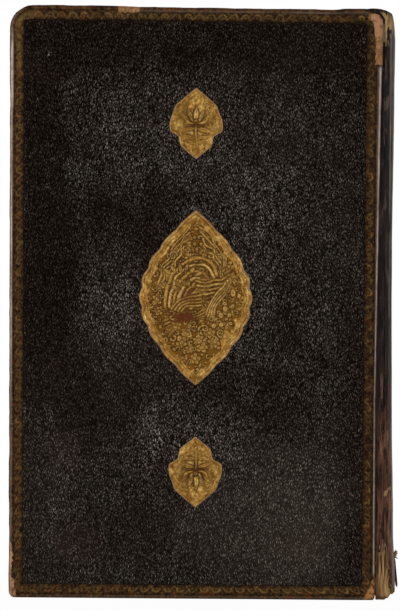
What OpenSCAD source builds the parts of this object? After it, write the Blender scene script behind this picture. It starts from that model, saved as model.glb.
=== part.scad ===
// An antique leather book that stands on its tail edge.
// The front cover faces -Y, the spine is at +X and the head is up.
// Its brown goatskin case is tooled with a roll along the edges, and a grained black
// panel is laid inside the roll, with three stamped onlays sunk into the front one.
// The joint is skewed with age, so a board is narrower at its tail than at its head.

/* [Boards] */
// Height of a covered board, from tail to head
board_h = 245; // [200:1:320]
// Width of a covered board at its head, from fore-edge to joint
board_w = 155; // [130:1:200]
// How much narrower a board is at its tail
joint_skew = 2.9; // [0:0.1:4]
// Height at which a board's joint edge reaches its full skew
skew_z = 80; // [40:5:120]
// Thickness of the pasteboard core
core_t = 2.4; // [1.6:0.1:4]
// Rounding of the fore-edge corner at the head
head_corner_r = 7.6; // [4:0.2:10]
// Rounding of the fore-edge corner at the tail
tail_corner_r = 2.6; // [1.6:0.2:8]
// Rounding of the corner between head and joint
joint_corner_r = 4.2; // [2:0.2:6]

/* [Leaves] */
// Thickness of the sewn leaves
leaves_t = 20; // [14:0.5:40]
// How far the boards stand out past the leaves at head, tail and fore-edge
square_w = 2; // [1.7:0.1:4]
// How far the fore-edge of the leaves is hollowed
fore_hollow = 1.6; // [0.4:0.1:4]
// Clearance between the leaves and a closed cover
leaves_gap = 0.2; // [0.1:0.05:0.6]

/* [Leather] */
// Thickness of the brown case leather
case_t = 0.8; // [0.7:0.05:1.2]
// Thickness of the pared leather turned in over a board
turn_in_t = 0.6; // [0.4:0.05:1]
// Width of the leather turned in over a board
turn_in_w = 13; // [8:0.5:20]
// Rise of the black grained panel above the case leather
panel_t = 0.5; // [0.35:0.05:0.9]
// Thickness of the paper pasted inside a board
pastedown_t = 0.25; // [0.15:0.05:0.35]
// Width of the worn patch beside the head of the front joint
patch_w = 3.3; // [2:0.1:5]
// Length of the worn patch beside the head of the front joint
patch_h = 22; // [10:0.5:30]
// Depth of the leather's wear, at the patch and the corners
wear_depth = 0.35; // [0.1:0.05:0.5]
// Size of the worn corner between fore-edge and tail
corner_wear = 9; // [4:0.5:14]
// Size of the broken corner between tail and joint
corner_break = 9; // [4:0.5:12]

/* [Spine] */
// How far the spine bulges past the joint
spine_bulge = 3.4; // [3:0.1:6]
// Width of the gap between a board's leather and the spine leather
joint_gap = 0.6; // [0.4:0.05:1]
// How far the spine lies below a cover's face at the joint
joint_drop = 1.2; // [0.7:0.1:2]
// Thickness of the spine leather
spine_t = 0.9; // [0.6:0.05:1.2]
// Thickness of the paper lining that shows where the leather is torn
paper_t = 0.35; // [0.2:0.05:0.5]
// Thickness of the lining cloth glued to the backs of the leaves
cloth_t = 0.4; // [0.2:0.05:0.5]
// Rounding of the spine at its head
cap_r = 3.2; // [1:0.2:3.4]
// Height of the torn loss at the tail of the spine
tear_h = 23; // [12:0.5:40]
// Height of the abraded leather at the head of the spine
rub_h = 15; // [6:0.5:30]
// How far the loose splinter of leather stands out past the spine
splinter_reach = 2.4; // [1:0.1:3]
// Width of the paper strip pasted over an inner joint
hinge_w = 11; // [6:0.5:16]
// Thickness of the paper strip pasted over an inner joint
hinge_t = 0.25; // [0.15:0.05:0.35]

/* [Tooled border] */
// Plain margin outside the border at head, tail and fore-edge
border_margin = 1.8; // [1.2:0.1:4]
// Plain margin between the border and the joint at the head
joint_margin = 3.1; // [2.4:0.1:5]
// How much nearer to the fore-edge the border runs at its tail
border_skew = 2.1; // [0:0.1:3]
// Width of the border
border_w = 4.1; // [3:0.1:6]
// Length of one stroke of the roll
roll_pitch = 4.6; // [3.6:0.1:8]
// Width of the fillets pressed into the leather
tool_w = 0.45; // [0.3:0.05:0.7]
// Depth of the fillets and strokes pressed into the leather
tool_depth = 0.15; // [0.05:0.05:0.3]

/* [Stamped onlays] */
// Width of the central almond
almond_w = 46.9; // [30:0.1:60]
// Height of the central almond
almond_h = 72.5; // [50:0.5:80]
// Lobes on each side of the almond
almond_lobes = 9; // [5:2:11]
// Depth of the notches between the almond's lobes
lobe_depth = 0.9; // [0.3:0.1:1.5]
// Height of the almond's middle above the middle of the board
almond_rise = 2.3; // [-4:0.1:4]
// Distance from the fore-edge to the middle of the onlays
onlay_reach = 77.2; // [60:0.2:90]
// Width of a pendant
pendant_w = 22; // [16:0.5:30]
// Height of a pendant
pendant_h = 29.4; // [22:0.2:32]
// Distance from the almond's middle to a pendant's middle
pendant_step = 72.2; // [62:0.2:76]
// Depth of the pockets that hold the onlays, below the case leather's face
pocket_depth = 0.5; // [0.3:0.05:0.55]
// Clearance round an onlay in its pocket
onlay_gap = 0.15; // [0.1:0.05:0.3]
// Width of an onlay's raised rim
rim_w = 1.4; // [0.8:0.1:2]
// How far an onlay's rim and figures stay below the panel
onlay_sink = 0.1; // [0.05:0.05:0.2]
// Rise of an onlay's rim and figures above its ground
relief_t = 0.35; // [0.2:0.05:0.4]
// Width of the blind line that joins the onlays
blind_w = 0.5; // [0.3:0.1:1]
// Depth of the blind line
blind_depth = 0.15; // [0.1:0.05:0.25]

/* [Sewing and endbands] */
// Number of link-stitch chains across the backs of the leaves
chain_count = 2; // [2:1:6]
// Thickness of the sewing thread
thread_d = 0.7; // [0.4:0.1:1]
// Depth of an endband, from the back of the leaves inwards
endband_d = 2.4; // [1.6:0.1:3.5]
// Height of an endband above the edge of the leaves
endband_h = 1.5; // [1:0.1:1.6]
// Thickness of the silk over an endband's core
silk_t = 0.35; // [0.2:0.05:0.45]
// Pitch of the silk wraps round an endband
wrap_pitch = 1.15; // [0.9:0.05:1.6]

/* [Hidden] */
$fn = 96;

// Overshoot of a cut past the faces that it opens
cut = 1;
// Clearance between a fixed piece and a cover that swings past it
swing_gap = 0.4;
// Height at which the joint's leather starts above the tail
flange_z = 10;

// Widths along X, from the fore-edge at -X to the spine at +X
x_fore = -(board_w + joint_gap + spine_bulge + splinter_reach) / 2;
x_joint = x_fore + board_w;
x_spine = x_joint + joint_gap;
x_apex = x_spine + spine_bulge;

// Levels out from the middle of the book, the same for both covers
y_leaves = leaves_t / 2;
y_inner = y_leaves + leaves_gap;
y_core = y_inner + turn_in_t;
y_case = y_core + core_t;
y_face = y_case + case_t;
y_panel = y_face + panel_t;
y_spine = y_face - joint_drop;

// Layers of the spine, each by its depth below the outer leather
under_leather = spine_t;
under_paper = spine_t + paper_t;
under_cloth = spine_t + paper_t + cloth_t;

// The leaves between the squares
leaves_z = square_w;
leaves_h = board_h - 2 * square_w;

// The border starts this far in, and the panel lies inside it
panel_inset = border_margin + border_w;

// Middle of the onlays, and the levels inside one
onlay_x = x_fore + onlay_reach;
almond_z = board_h / 2 + almond_rise;
onlay_y = y_face - pocket_depth;
ground_t = pocket_depth + panel_t - onlay_sink - relief_t;

// Places a shape drawn as (across, up, out) on the front cover, or on the back one
module on_front() rotate([90, 0, 0]) children();
module on_back() mirror([0, 1, 0]) rotate([90, 0, 0]) children();

// A layer of a cover between two levels out from the middle of the book
module layer(inner, outer) translate([0, 0, inner]) linear_extrude(outer - inner) children();

// Points of an arc about (x, z)
function arc(x, z, r, from, to, steps = 12) =
    [for (i = [0:steps]) [x + r * cos(from + (to - from) * i / steps), z + r * sin(from + (to - from) * i / steps)]];

// A board's outline, taken in by inset on every side, with its skewed joint edge
function board_points(inset = 0) =
    let (x0 = x_fore + inset, x1 = x_joint - inset, z1 = board_h - inset,
        head_r = head_corner_r - inset, tail_r = tail_corner_r - inset, hinge_r = joint_corner_r - inset)
    concat(
        arc(x0 + tail_r, inset + tail_r, tail_r, 180, 270),
        [[x1 - joint_skew - 2 * case_t, inset], [x1 - joint_skew, inset + case_t], [x1 - joint_skew, skew_z]],
        arc(x1 - hinge_r, z1 - hinge_r, hinge_r, 0, 90),
        arc(x0 + head_r, z1 - head_r, head_r, 90, 180)
    );

// Distance in from the head of the joint to a board's edge at height z
function skew_at(z) = joint_skew * min(1, max(0, (board_h - joint_corner_r - z) / (board_h - joint_corner_r - skew_z)));

// The four corners of a frame that lies out from the panel's edge
function frame_points(out = 0) =
    let (x0 = x_fore + panel_inset - out, z0 = panel_inset - out, z1 = board_h - z0,
        x1 = x_joint - joint_margin - border_w + out)
    [[x0, z0], [x1 - border_skew, z0], [x1, z1], [x0, z1]];

// Half the almond's width at height v, from -1 at the tail tip to 1 at the head tip
function almond_half(v, w) =
    w / 2 * pow(cos(90 * v), 0.9)
    - lobe_depth * (1 - abs(sin(90 * almond_lobes * (v + 1)))) * (1 - pow(v, 6));

// Mirrors a right-hand side, given from the bottom up, into a closed outline
function both_sides(side, h) =
    concat([[0, -h]], side, [[0, h]], [for (i = [len(side) - 1:-1:0]) [-side[i][0], side[i][1]]]);

// The lobed almond and the stepped pendant, taken in by inset on every side
module almond_outline(inset = 0) {
    steps = 54;
    h = almond_h / 2 - 1.5 * inset;
    polygon(both_sides([for (i = [1:steps - 1])
        let (v = 2 * i / steps - 1) [max(0.15, almond_half(v, almond_w - 2 * inset)), v * h]], h));
}
module pendant_outline(inset = 0) {
    w = pendant_w / 2 - inset;
    h = pendant_h / 2 - 1.3 * inset;
    half = [
        [0.28, -0.86], [0.5, -0.72], [0.59, -0.62], [0.66, -0.34], [0.97, -0.26], [1, -0.08],
        [0.97, 0.1], [0.86, 0.3], [0.78, 0.5], [0.53, 0.67], [0.27, 0.84]
    ];
    polygon(both_sides([for (p = half) [p[0] * w, p[1] * h]], h));
}

// An onlay's outline by its place: 0 is the almond, 1 and -1 the pendants
module onlay_outline(place, inset = 0) {
    if (place == 0) almond_outline(inset);
    else pendant_outline(inset);
}
module onlay_cuts() {
    for (place = [-1:1])
        translate([onlay_x, almond_z + place * pendant_step]) mirror([0, place < 0 ? 1 : 0])
            onlay_outline(place, -onlay_gap);
}

// A pointed leaf that lies along +X from the origin
module leaf(length, width) {
    r = (pow(length, 2) + pow(width, 2)) / (4 * width);
    translate([length / 2, 0]) intersection() {
        translate([0, r - width / 2]) circle(r);
        translate([0, width / 2 - r]) circle(r);
    }
}

// A blossom of round petals about its eye
module blossom(size) {
    for (k = [0:4]) rotate(72 * k) translate([size * 0.3, 0]) circle(size * 0.2, $fn = 24);
    circle(size * 0.16, $fn = 24);
}

// A bird with a raised wing and a long tail among leaves and blossoms
module almond_figures() {
    w = almond_w / 2;
    h = almond_h / 2;
    unit = min(w / 23.45, h / 36.25);
    translate([0, 0.1 * h]) scale(unit) rotate(-25) leaf(13, 6.4);
    translate([-1.5 * unit, 0.16 * h]) scale(unit) rotate(140) leaf(9, 3.4);
    translate([-8.5 * unit, 0.32 * h]) circle(1.7 * unit, $fn = 32);
    translate([-9.5 * unit, 0.32 * h]) scale(unit) rotate(190) leaf(4, 1.2);
    for (k = [0:5]) translate([2 * unit, 0.14 * h]) scale(unit) rotate(12 + 19 * k) leaf(13 - k, 2.2);
    for (k = [0:3]) translate([8 * unit, 0]) scale(unit) rotate(-38 - 19 * k) leaf(15 - k, 2);
    for (side = [-1, 1]) {
        for (k = [0:4]) translate([side * w * (0.34 + 0.09 * k), -h * (0.58 - 0.13 * k)]) blossom(5 * unit);
        for (k = [0:2]) translate([side * w * (0.62 - 0.18 * k), h * (0.34 + 0.16 * k)]) blossom(4.6 * unit);
        for (k = [0:2])
            translate([side * 0.08 * w, -h * (0.34 + 0.15 * k)]) scale(unit)
                rotate(90 - side * (62 - 10 * k)) leaf(6.5, 2.2);
    }
    for (side = [-1, 1]) translate([0, side * 0.76 * h]) blossom(4.6 * unit);
}

// A lotus with paired leaves
module pendant_figures() {
    w = pendant_w / 2;
    h = pendant_h / 2;
    unit = min(w / 11, h / 14.7);
    for (side = [-1, 1]) {
        translate([0, 0.02 * h]) scale(unit) rotate(90 - side * 38) leaf(7.5, 2.2);
        translate([0, 0.02 * h]) scale(unit) rotate(90 - side * 72) leaf(7.6, 2);
        translate([0, -0.02 * h]) scale(unit) rotate(90 - side * 110) leaf(6.5, 1.8);
        translate([0, -0.55 * h]) scale(unit) rotate(90 - side * 32) leaf(5.6, 1.6);
    }
    translate([0, -0.7 * h]) scale(unit) rotate(90) leaf(18, 2.6);
}

// A stamped onlay: its ground, its raised rim and its figures
module onlay(place) {
    color("goldenrod") on_front()
        translate([onlay_x, almond_z + place * pendant_step, onlay_y]) mirror([0, place < 0 ? 1 : 0, 0]) {
            linear_extrude(ground_t) onlay_outline(place);
            linear_extrude(ground_t + relief_t) difference() {
                onlay_outline(place);
                onlay_outline(place, rim_w);
            }
            linear_extrude(ground_t + relief_t) intersection() {
                onlay_outline(place, rim_w + 0.6);
                if (place == 0) almond_figures();
                else pendant_figures();
            }
        }
}

// The back of the book at a depth below the outer leather: nearly flat, with soft shoulders
function back_points(depth) =
    [for (i = [0:36]) let (u = -90 + 5 * i)
        [x_spine + (spine_bulge - depth) * cos(u) * sqrt(1 + pow(sin(u), 2)), (y_spine - depth) * sin(u)]];

// Everything inside that back, as far as reach in from the joint
module back_outline(depth, reach = 0) {
    half = y_spine - depth;
    polygon(concat([[x_spine - reach, -half]], back_points(depth), [[x_spine - reach, half]]));
}

// A layer of the back between two depths
module back_layer(outer_depth, inner_depth) {
    difference() {
        back_outline(outer_depth);
        back_outline(inner_depth, cut);
    }
}

// The sewn leaves: a nearly flat back, a hollowed fore-edge and a notch at each chain
module leaves() {
    hollow_r = (pow(y_leaves, 2) + pow(fore_hollow, 2)) / (2 * fore_hollow);
    x_edge = x_fore + square_w;
    color("wheat") difference() {
        translate([0, 0, leaves_z]) linear_extrude(leaves_h) difference() {
            union() {
                translate([x_edge, -y_leaves]) square([x_spine - x_edge, leaves_t]);
                back_outline(under_cloth, joint_gap - swing_gap);
            }
            translate([x_edge + fore_hollow - hollow_r, 0]) circle(hollow_r);
        }
        for (k = [0:chain_count - 1])
            translate([x_notch, -y_spine, chain_z(k) - thread_d]) cube([spine_bulge, 2 * y_spine, 2 * thread_d]);
    }
}
function chain_z(k) = leaves_z + leaves_h * (k + 0.5) / chain_count;
x_notch = x_spine + (spine_bulge - under_cloth) * 0.75 - thread_d;

// Link-stitch chains: two rows of thread side by side in each notch
module sewing_threads() {
    half = y_leaves - 2 * thread_d;
    color("ivory") for (k = [0:chain_count - 1], row = [-1, 1])
        translate([x_notch + thread_d / 2, half, chain_z(k) + row * thread_d / 2])
            rotate([90, 0, 0]) cylinder(d = thread_d, h = 2 * half, $fn = 24);
}

// Lining cloth on the backs of the leaves
module spine_cloth() {
    color("tan") translate([0, 0, leaves_z]) linear_extrude(leaves_h) back_layer(under_paper, under_cloth);
}

// Paper lining: over the cloth, and forward to each board's skewed edge
module spine_paper() {
    low = square_w / 2;
    high = board_h - turn_in_w - leaves_gap;
    b = spine_bulge;
    color("burlywood") difference() {
        union() {
            translate([0, 0, low]) linear_extrude(high - low) back_layer(under_leather, under_paper);
            for (side = [0, 1]) mirror([0, side, 0]) on_front() {
                layer(y_leaves, wedge_y) polygon([
                    [x_joint - joint_skew + swing_gap, low], [x_joint - joint_gap / 2, low],
                    [x_joint - joint_gap / 2, wedge_top], [x_joint - skew_at(wedge_top) + swing_gap, wedge_top],
                    [x_joint - joint_skew + swing_gap, skew_z]
                ]);
                layer(y_spine - under_paper, wedge_y)
                    translate([x_joint - joint_gap, low]) square([2.2 * joint_gap, wedge_top - low]);
            }
        }
        on_front() layer(-2 * y_spine, 2 * y_spine) polygon([
            [x_joint - 2 * joint_skew, -cut], [x_joint - 2 * joint_skew, low], [x_joint, low + 0.6], [x_spine, 1.2],
            [x_spine + 0.2 * b, 2.6], [x_spine + 0.45 * b, 1.1], [x_spine + 0.8 * b, 2.2], [x_apex + cut, 1.4],
            [x_apex + cut, -cut]
        ]);
    }
}
wedge_top = skew_z + 0.4 * (board_h - skew_z);
wedge_y = y_spine - case_t - leaves_gap;

// The book seen from the front past its boards: a rounded head and a chipped tail
module spine_silhouette() {
    chip = 0.75 * spine_bulge;
    polygon(concat(
        [[x_fore, board_h], [x_fore, 0], [x_apex - chip, 0], [x_apex, chip]],
        arc(x_apex - cap_r, board_h - cap_r, cap_r, 0, 90)
    ));
}

// Spine leather with its cap over the boards' rounded corners, torn away at the tail
module spine_leather() {
    b = spine_bulge;
    cap = joint_corner_r + swing_gap;
    color("#3a2a22") {
        difference() {
            intersection() {
                union() {
                    linear_extrude(board_h) back_layer(0, under_leather);
                    translate([0, 0, board_h - turn_in_w]) linear_extrude(turn_in_w) back_layer(0, under_paper);
                    for (side = [0, 1]) mirror([0, side, 0]) on_front() layer(y_spine - spine_t, y_spine)
                        difference() {
                            translate([x_joint - cap, board_h - cap]) square([cap + joint_gap + 0.2, cap]);
                            corner_room();
                        }
                }
                on_front() layer(-2 * y_spine, 2 * y_spine) spine_silhouette();
            }
            on_front() layer(0.35 * y_spine, 2 * y_spine) polygon([
                [x_spine - cut, -cut], [x_spine - cut, 0.92 * tear_h], [x_spine + 0.15 * b, tear_h],
                [x_spine + 0.3 * b, 0.88 * tear_h], [x_spine + 0.5 * b, 0.93 * tear_h], [x_spine + 0.56 * b, 0.62 * tear_h],
                [x_spine + 0.7 * b, 0.42 * tear_h], [x_spine + 0.78 * b, 0.3 * tear_h], [x_apex + cut, 0.16 * tear_h],
                [x_apex + cut, -cut]
            ]);
            intersection() {
                linear_extrude(board_h + cut) difference() {
                    back_outline(-cut);
                    back_outline(spine_t / 2, cut);
                }
                on_front() layer(0.3 * y_spine, 2 * y_spine) translate([0, board_h]) polygon([
                    [x_spine - cut, cut], [x_spine - cut, -1.4 * rub_h], [x_spine + 0.12 * b, -1.35 * rub_h],
                    [x_spine + 0.3 * b, -rub_h], [x_spine + 0.55 * b, -0.9 * rub_h], [x_spine + 0.7 * b, -0.6 * rub_h],
                    [x_apex + cut, -0.45 * rub_h], [x_apex + cut, cut]
                ]);
            }
        }
        splinter();
    }
}

// The room that a board's rounded head corner needs, up to the joint
module corner_room() {
    r = joint_corner_r;
    translate([x_joint - r, board_h - r]) circle(r + swing_gap);
    translate([x_joint - 2 * r, board_h - 3 * r]) square([2 * r + swing_gap, 2 * r]);
}

// A splinter of leather that has split off the spine near its tail and hangs beside it
module splinter() {
    r = splinter_reach;
    translate([x_apex, 0, 0]) on_front() layer(-0.6, 0.6) polygon([
        [-0.4, 17], [-0.4, 21], [0.8 * r, 21.4], [0.6 * r, 20], [r, 18.4], [0.7 * r, 16.6], [0.96 * r, 5.2],
        [0.66 * r, 5], [0.42 * r, 12], [0.3 * r, 16.4]
    ]);
}

// An endband on the edge of the leaves, drawn upwards from z = 0: a core inside silk wraps
module endband(silk) {
    half = y_leaves - 1;
    core_h = endband_h - silk_t;
    core_d = endband_d - 2 * silk_t;
    x_back = x_spine + (spine_bulge - under_cloth) * 0.75;
    wraps = floor((2 * half - wrap_pitch) / wrap_pitch);
    if (silk) difference() {
        union() {
            translate([x_back - endband_d + silk_t / 2, -half, 0]) cube([endband_d - silk_t, 2 * half, endband_h - silk_t / 2]);
            for (k = [0:wraps])
                translate([x_back - endband_d, (k - wraps / 2) * wrap_pitch, 0])
                    cube([endband_d, 0.62 * wrap_pitch, endband_h]);
        }
        translate([x_back - endband_d + silk_t, -half - cut, -cut]) cube([core_d, 2 * (half + cut), core_h + cut]);
    }
    else translate([x_back - endband_d + silk_t, -half, 0]) cube([core_d, 2 * half, core_h]);
}
module at_head() translate([0, 0, leaves_z + leaves_h]) children();
module at_tail() translate([0, 0, leaves_z]) mirror([0, 0, 1]) children();
module head_endband_core() color("saddlebrown") at_head() endband(false);
module tail_endband_core() color("saddlebrown") at_tail() endband(false);
module head_endband_silk() color("firebrick") at_head() endband(true);
module tail_endband_silk() color("firebrick") at_tail() endband(true);

// A paper strip on the first leaf, beside the inner joint
module hinge_paper() {
    layer(y_leaves, y_leaves + hinge_t)
        translate([x_joint - joint_skew - case_t - leaves_gap - hinge_w, turn_in_w + cut])
            square([hinge_w, board_h - 2 * (turn_in_w + cut)]);
}
module front_hinge_paper() color("linen") on_front() hinge_paper();
module back_hinge_paper() color("linen") on_back() hinge_paper();

// The pasteboard core, one leather thickness inside the case
module board_core() layer(y_core, y_case) polygon(board_points(case_t));
module front_board() color("peru") on_front() board_core();
module back_board() color("peru") on_back() board_core();

// Case leather: its outer face, its edges, its turn-ins and its share of the joint
module case_leather() {
    flange_top = board_h - patch_h - 2 * case_t;
    difference() {
        layer(y_inner, y_face) polygon(board_points());
        board_core();
        layer(y_inner - cut, y_core + core_t / 2) intersection() {
            translate([x_fore + turn_in_w, turn_in_w]) square([board_w, board_h - 2 * turn_in_w]);
            polygon(board_points(case_t));
        }
        layer(y_face - tool_depth, y_face + cut) border_tooling();
    }
    layer(y_spine - case_t, y_spine) polygon([
        [x_joint - joint_skew - case_t / 2, flange_z], [x_joint, flange_z], [x_joint, flange_top],
        [x_joint - skew_at(flange_top) - case_t / 2, flange_top], [x_joint - joint_skew - case_t / 2, skew_z]
    ]);
}

// The front case also has the onlays' pockets, its worn patch and its damaged corners
module front_case_leather() {
    x_tail = x_joint - joint_skew;
    w = corner_wear;
    d = corner_break;
    color("#4a3324") on_front() difference() {
        case_leather();
        layer(onlay_y, y_face + cut) onlay_cuts();
        layer(y_face - wear_depth, y_face + cut) translate([x_joint, board_h]) polygon([
            [-1.8 * patch_w, cut], [-1.8 * patch_w, -0.12 * patch_h], [-1.1 * patch_w, -0.3 * patch_h],
            [-patch_w, -patch_h], [cut, -patch_h], [cut, cut]
        ]);
        layer(y_face - wear_depth, y_face + cut) translate([x_fore, 0]) polygon([
            [-cut, -cut], [0.5 * w, -cut], [0.28 * w, 0.22 * w], [0.4 * w, 0.55 * w], [0.13 * w, w], [-cut, w]
        ]);
        layer(y_face - wear_depth, y_face + cut) translate([x_tail, 0]) polygon([
            [cut, -cut], [-0.45 * d, -cut], [-0.42 * d, 0.3 * d], [-0.2 * d, 0.62 * d], [-0.12 * d, d], [cut, d]
        ]);
    }
}
module back_case_leather() color("#4a3324") on_back() case_leather();

// The roll pressed along the edges: two fillets with a row of slanted strokes between them
module border_tooling() {
    for (out = [0, border_w - tool_w]) difference() {
        polygon(frame_points(out + tool_w));
        polygon(frame_points(out));
    }
    middle = frame_points(border_w / 2);
    for (e = [0:3]) {
        a = middle[e];
        b = middle[(e + 1) % 4];
        run = norm(b - a);
        count = floor((run - border_w) / roll_pitch);
        translate(a) rotate(atan2(b[1] - a[1], b[0] - a[0]))
            for (k = [0:count - 1]) translate([run / 2 + (k - (count - 1) / 2) * roll_pitch, 0]) roll_stroke();
    }
}

// One slanted stroke of the roll, clear of both fillets
module roll_stroke() {
    reach = border_w / 2 - 1.5 * tool_w;
    lean = 0.4 * roll_pitch;
    polygon([[-lean, -reach], [2.5 * tool_w - lean, -reach], [lean, reach], [lean - 2.5 * tool_w, reach]]);
}

// The black grained panel
module panel() layer(y_face, y_panel) polygon(frame_points());

// The front panel is cut out round the onlays and has the blind line between them
module front_panel() {
    color("#1e1a18") on_front() difference() {
        panel();
        layer(y_face - cut, y_panel + cut) onlay_cuts();
        layer(y_panel - blind_depth, y_panel + cut)
            translate([onlay_x - blind_w / 2, almond_z - pendant_step]) square([blind_w, 2 * pendant_step]);
    }
}
module back_panel() color("#1e1a18") on_back() panel();

module front_almond() onlay(0);
module front_upper_pendant() onlay(1);
module front_lower_pendant() onlay(-1);

// Paper pasted on the board inside the turn-ins
module pastedown() {
    edge = turn_in_w + 0.1;
    layer(y_core - pastedown_t, y_core)
        translate([x_fore + edge, edge]) square([board_w - edge - joint_skew - case_t, board_h - 2 * edge]);
}
module front_pastedown() color("antiquewhite") on_front() pastedown();
module back_pastedown() color("antiquewhite") on_back() pastedown();

leaves();
sewing_threads();
spine_cloth();
spine_paper();
spine_leather();
head_endband_core();
head_endband_silk();
tail_endband_core();
tail_endband_silk();
front_hinge_paper();
back_hinge_paper();
front_board();
front_case_leather();
front_panel();
front_almond();
front_upper_pendant();
front_lower_pendant();
front_pastedown();
back_board();
back_case_leather();
back_panel();
back_pastedown();
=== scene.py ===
"""An old hand-bound book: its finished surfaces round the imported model.

The book stands on its tail edges, its front cover faces -Y and its spine is at +X.
Shapes are worked out in millimetres as numpy arrays, and put into meshes in metres.
A cover's points are (x, z) with a level, the distance out from the middle of the book.
"""
import math

import bpy
import numpy as np
from bpy.props import FloatProperty, FloatVectorProperty, PointerProperty
from bpy.types import Operator, Panel, PropertyGroup
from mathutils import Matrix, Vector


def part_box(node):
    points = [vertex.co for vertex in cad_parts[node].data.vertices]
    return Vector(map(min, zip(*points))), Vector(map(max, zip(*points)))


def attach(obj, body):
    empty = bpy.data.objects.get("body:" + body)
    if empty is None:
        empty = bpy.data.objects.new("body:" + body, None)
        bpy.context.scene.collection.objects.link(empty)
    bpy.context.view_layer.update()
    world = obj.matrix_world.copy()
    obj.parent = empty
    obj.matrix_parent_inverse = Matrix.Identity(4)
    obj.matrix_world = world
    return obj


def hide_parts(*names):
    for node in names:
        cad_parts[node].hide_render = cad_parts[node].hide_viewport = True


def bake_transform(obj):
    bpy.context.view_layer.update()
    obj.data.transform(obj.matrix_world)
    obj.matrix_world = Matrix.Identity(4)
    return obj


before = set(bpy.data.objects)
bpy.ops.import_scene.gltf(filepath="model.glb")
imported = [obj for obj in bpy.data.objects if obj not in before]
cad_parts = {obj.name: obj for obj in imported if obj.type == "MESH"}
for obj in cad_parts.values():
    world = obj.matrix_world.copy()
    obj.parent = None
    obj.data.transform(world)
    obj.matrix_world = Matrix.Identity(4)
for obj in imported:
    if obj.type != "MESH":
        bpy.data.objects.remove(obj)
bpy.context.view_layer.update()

bl_info = {
    "name": "Old Leather Book",
    "version": (1, 0, 0),
    "blender": (4, 5, 0),
    "location": "3D View > Sidebar > Book",
    "description": "Makes the finished surfaces of an old hand-bound leather book",
    "category": "Mesh",
}


def span(node):
    """Lowest and highest corner of a CAD node, in millimetres."""
    low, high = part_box(node)
    return np.array(low) * 1000, np.array(high) * 1000


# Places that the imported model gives
CASE_LOW, CASE_HIGH = span("front_case_leather")
CORE_LOW, CORE_HIGH = span("front_board")
PANEL_LOW, PANEL_HIGH = span("front_panel")
PASTE_LOW, PASTE_HIGH = span("front_pastedown")
LEAVES_LOW, LEAVES_HIGH = span("leaves")
STRIP_LOW, STRIP_HIGH = span("front_hinge_paper")
ALMOND_LOW, ALMOND_HIGH = span("front_almond")

X_FORE, X_JOINT, BOARD_H = CASE_LOW[0], CASE_HIGH[0], CASE_HIGH[2]
Y_FACE, Y_INNER = -CASE_LOW[1], -CASE_HIGH[1]
Y_CASE, Y_CORE = -CORE_LOW[1], -CORE_HIGH[1]
Y_PANEL = -PANEL_LOW[1]
Y_SPINE = span("spine_leather")[1][1]
LINING_TOP = span("spine_paper")[1][2]
Y_LEAVES = LEAVES_HIGH[1]
X_SPINE = span("spine_cloth")[0][0]
ONLAY_X = (ALMOND_LOW[0] + ALMOND_HIGH[0]) / 2
ALMOND_Z = (ALMOND_LOW[2] + ALMOND_HIGH[2]) / 2
FRONT, BACK = -1, 1
NAMES = {FRONT: "front", BACK: "back"}

# The onlays by their place on the middle line: 1 is above the almond
ONLAYS = {0: "front_almond", 1: "front_upper_pendant", -1: "front_lower_pendant"}


def tone(red, green, blue):
    """A colour written as it looks on a screen, 0 to 255, turned into linear light."""
    levels = np.array([red, green, blue]) / 255
    linear = np.where(levels <= 0.04045, levels / 12.92, ((levels + 0.055) / 1.055) ** 2.4)
    return tuple(float(v) for v in linear)


def dye(red, green, blue):
    """A colour written as it looks on a screen, with full alpha."""
    return (*tone(red, green, blue), 1.0)


def length(name, description, millimetres):
    default = millimetres / 1000
    return FloatProperty(name=name, description=description, default=default, unit="LENGTH", precision=5)


def colour(name, description, red, green, blue):
    return FloatVectorProperty(
        name=name, description=description, default=tone(red, green, blue), size=3, min=0, max=1,
        subtype="COLOR",
    )


class BookSizes(PropertyGroup):
    """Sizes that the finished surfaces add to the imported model's."""

    joint_skew: length("Joint skew", "How much narrower a cover is at its tail", 2.9)
    joint_inset: length("Joint inset", "How far a cover's worn joint edge stands back from the joint", 0.45)
    skew_height: length("Skew height", "Height at which the joint edge reaches its full skew", 80)
    border_skew: length("Border skew", "How much nearer to the fore-edge the border runs at its tail", 1.7)
    border_margin: length("Border margin", "Plain leather outside the border", 1.8)
    joint_margin: length("Joint margin", "Plain leather between the border and the joint", 3.1)
    border_width: length("Border width", "Width of the roll-tooled border", 4.1)
    roll_pitch: length("Roll pitch", "Length of one turn of the running scroll", 4.56)
    roll_relief: length("Roll relief", "Rise of the running scroll", 0.16)
    head_corner: length("Head corner", "Rounding of the fore-edge corner at the head", 9.2)
    tail_corner: length("Tail corner", "Rounding of the fore-edge corner at the tail", 2.6)
    joint_corner: length("Joint corner", "Rounding of the corner between head and joint", 4.2)
    edge_round: length("Edge rounding", "Rounding of a cover's edges", 1.5)
    leather: length("Leather", "Thickness of the case leather", 0.8)
    turn_in: length("Turn-in", "Width of the leather turned in over a board", 13)
    wear: length("Wear", "Depth of the worn patches", 0.35)
    head_fall: length("Head fall", "How far the head of a cover falls from fore-edge to joint", 0.73)
    lean: length("Lean", "How far the head of the book leans towards the fore-edge", 1.28)
    spine_bulge: length("Spine bulge", "How far the spine stands past the joint", 3.4)
    tear_height: length("Tear height", "Height of the torn loss at the tail of the spine", 23)
    cap_round: length("Cap rounding", "Rounding of the head cap", 4.2)
    lobe: length("Lobe", "Height of the head cap's lobes over the covers' lowered corners", 1.3)
    split_height: length("Split", "Length of the open split at the head of the front joint", 23.6)
    rim: length("Rim", "Width of an onlay's smooth rim", 1.25)
    grain: length("Grain", "Width of one pebble of the goatskin's grain", 0.5)


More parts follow.
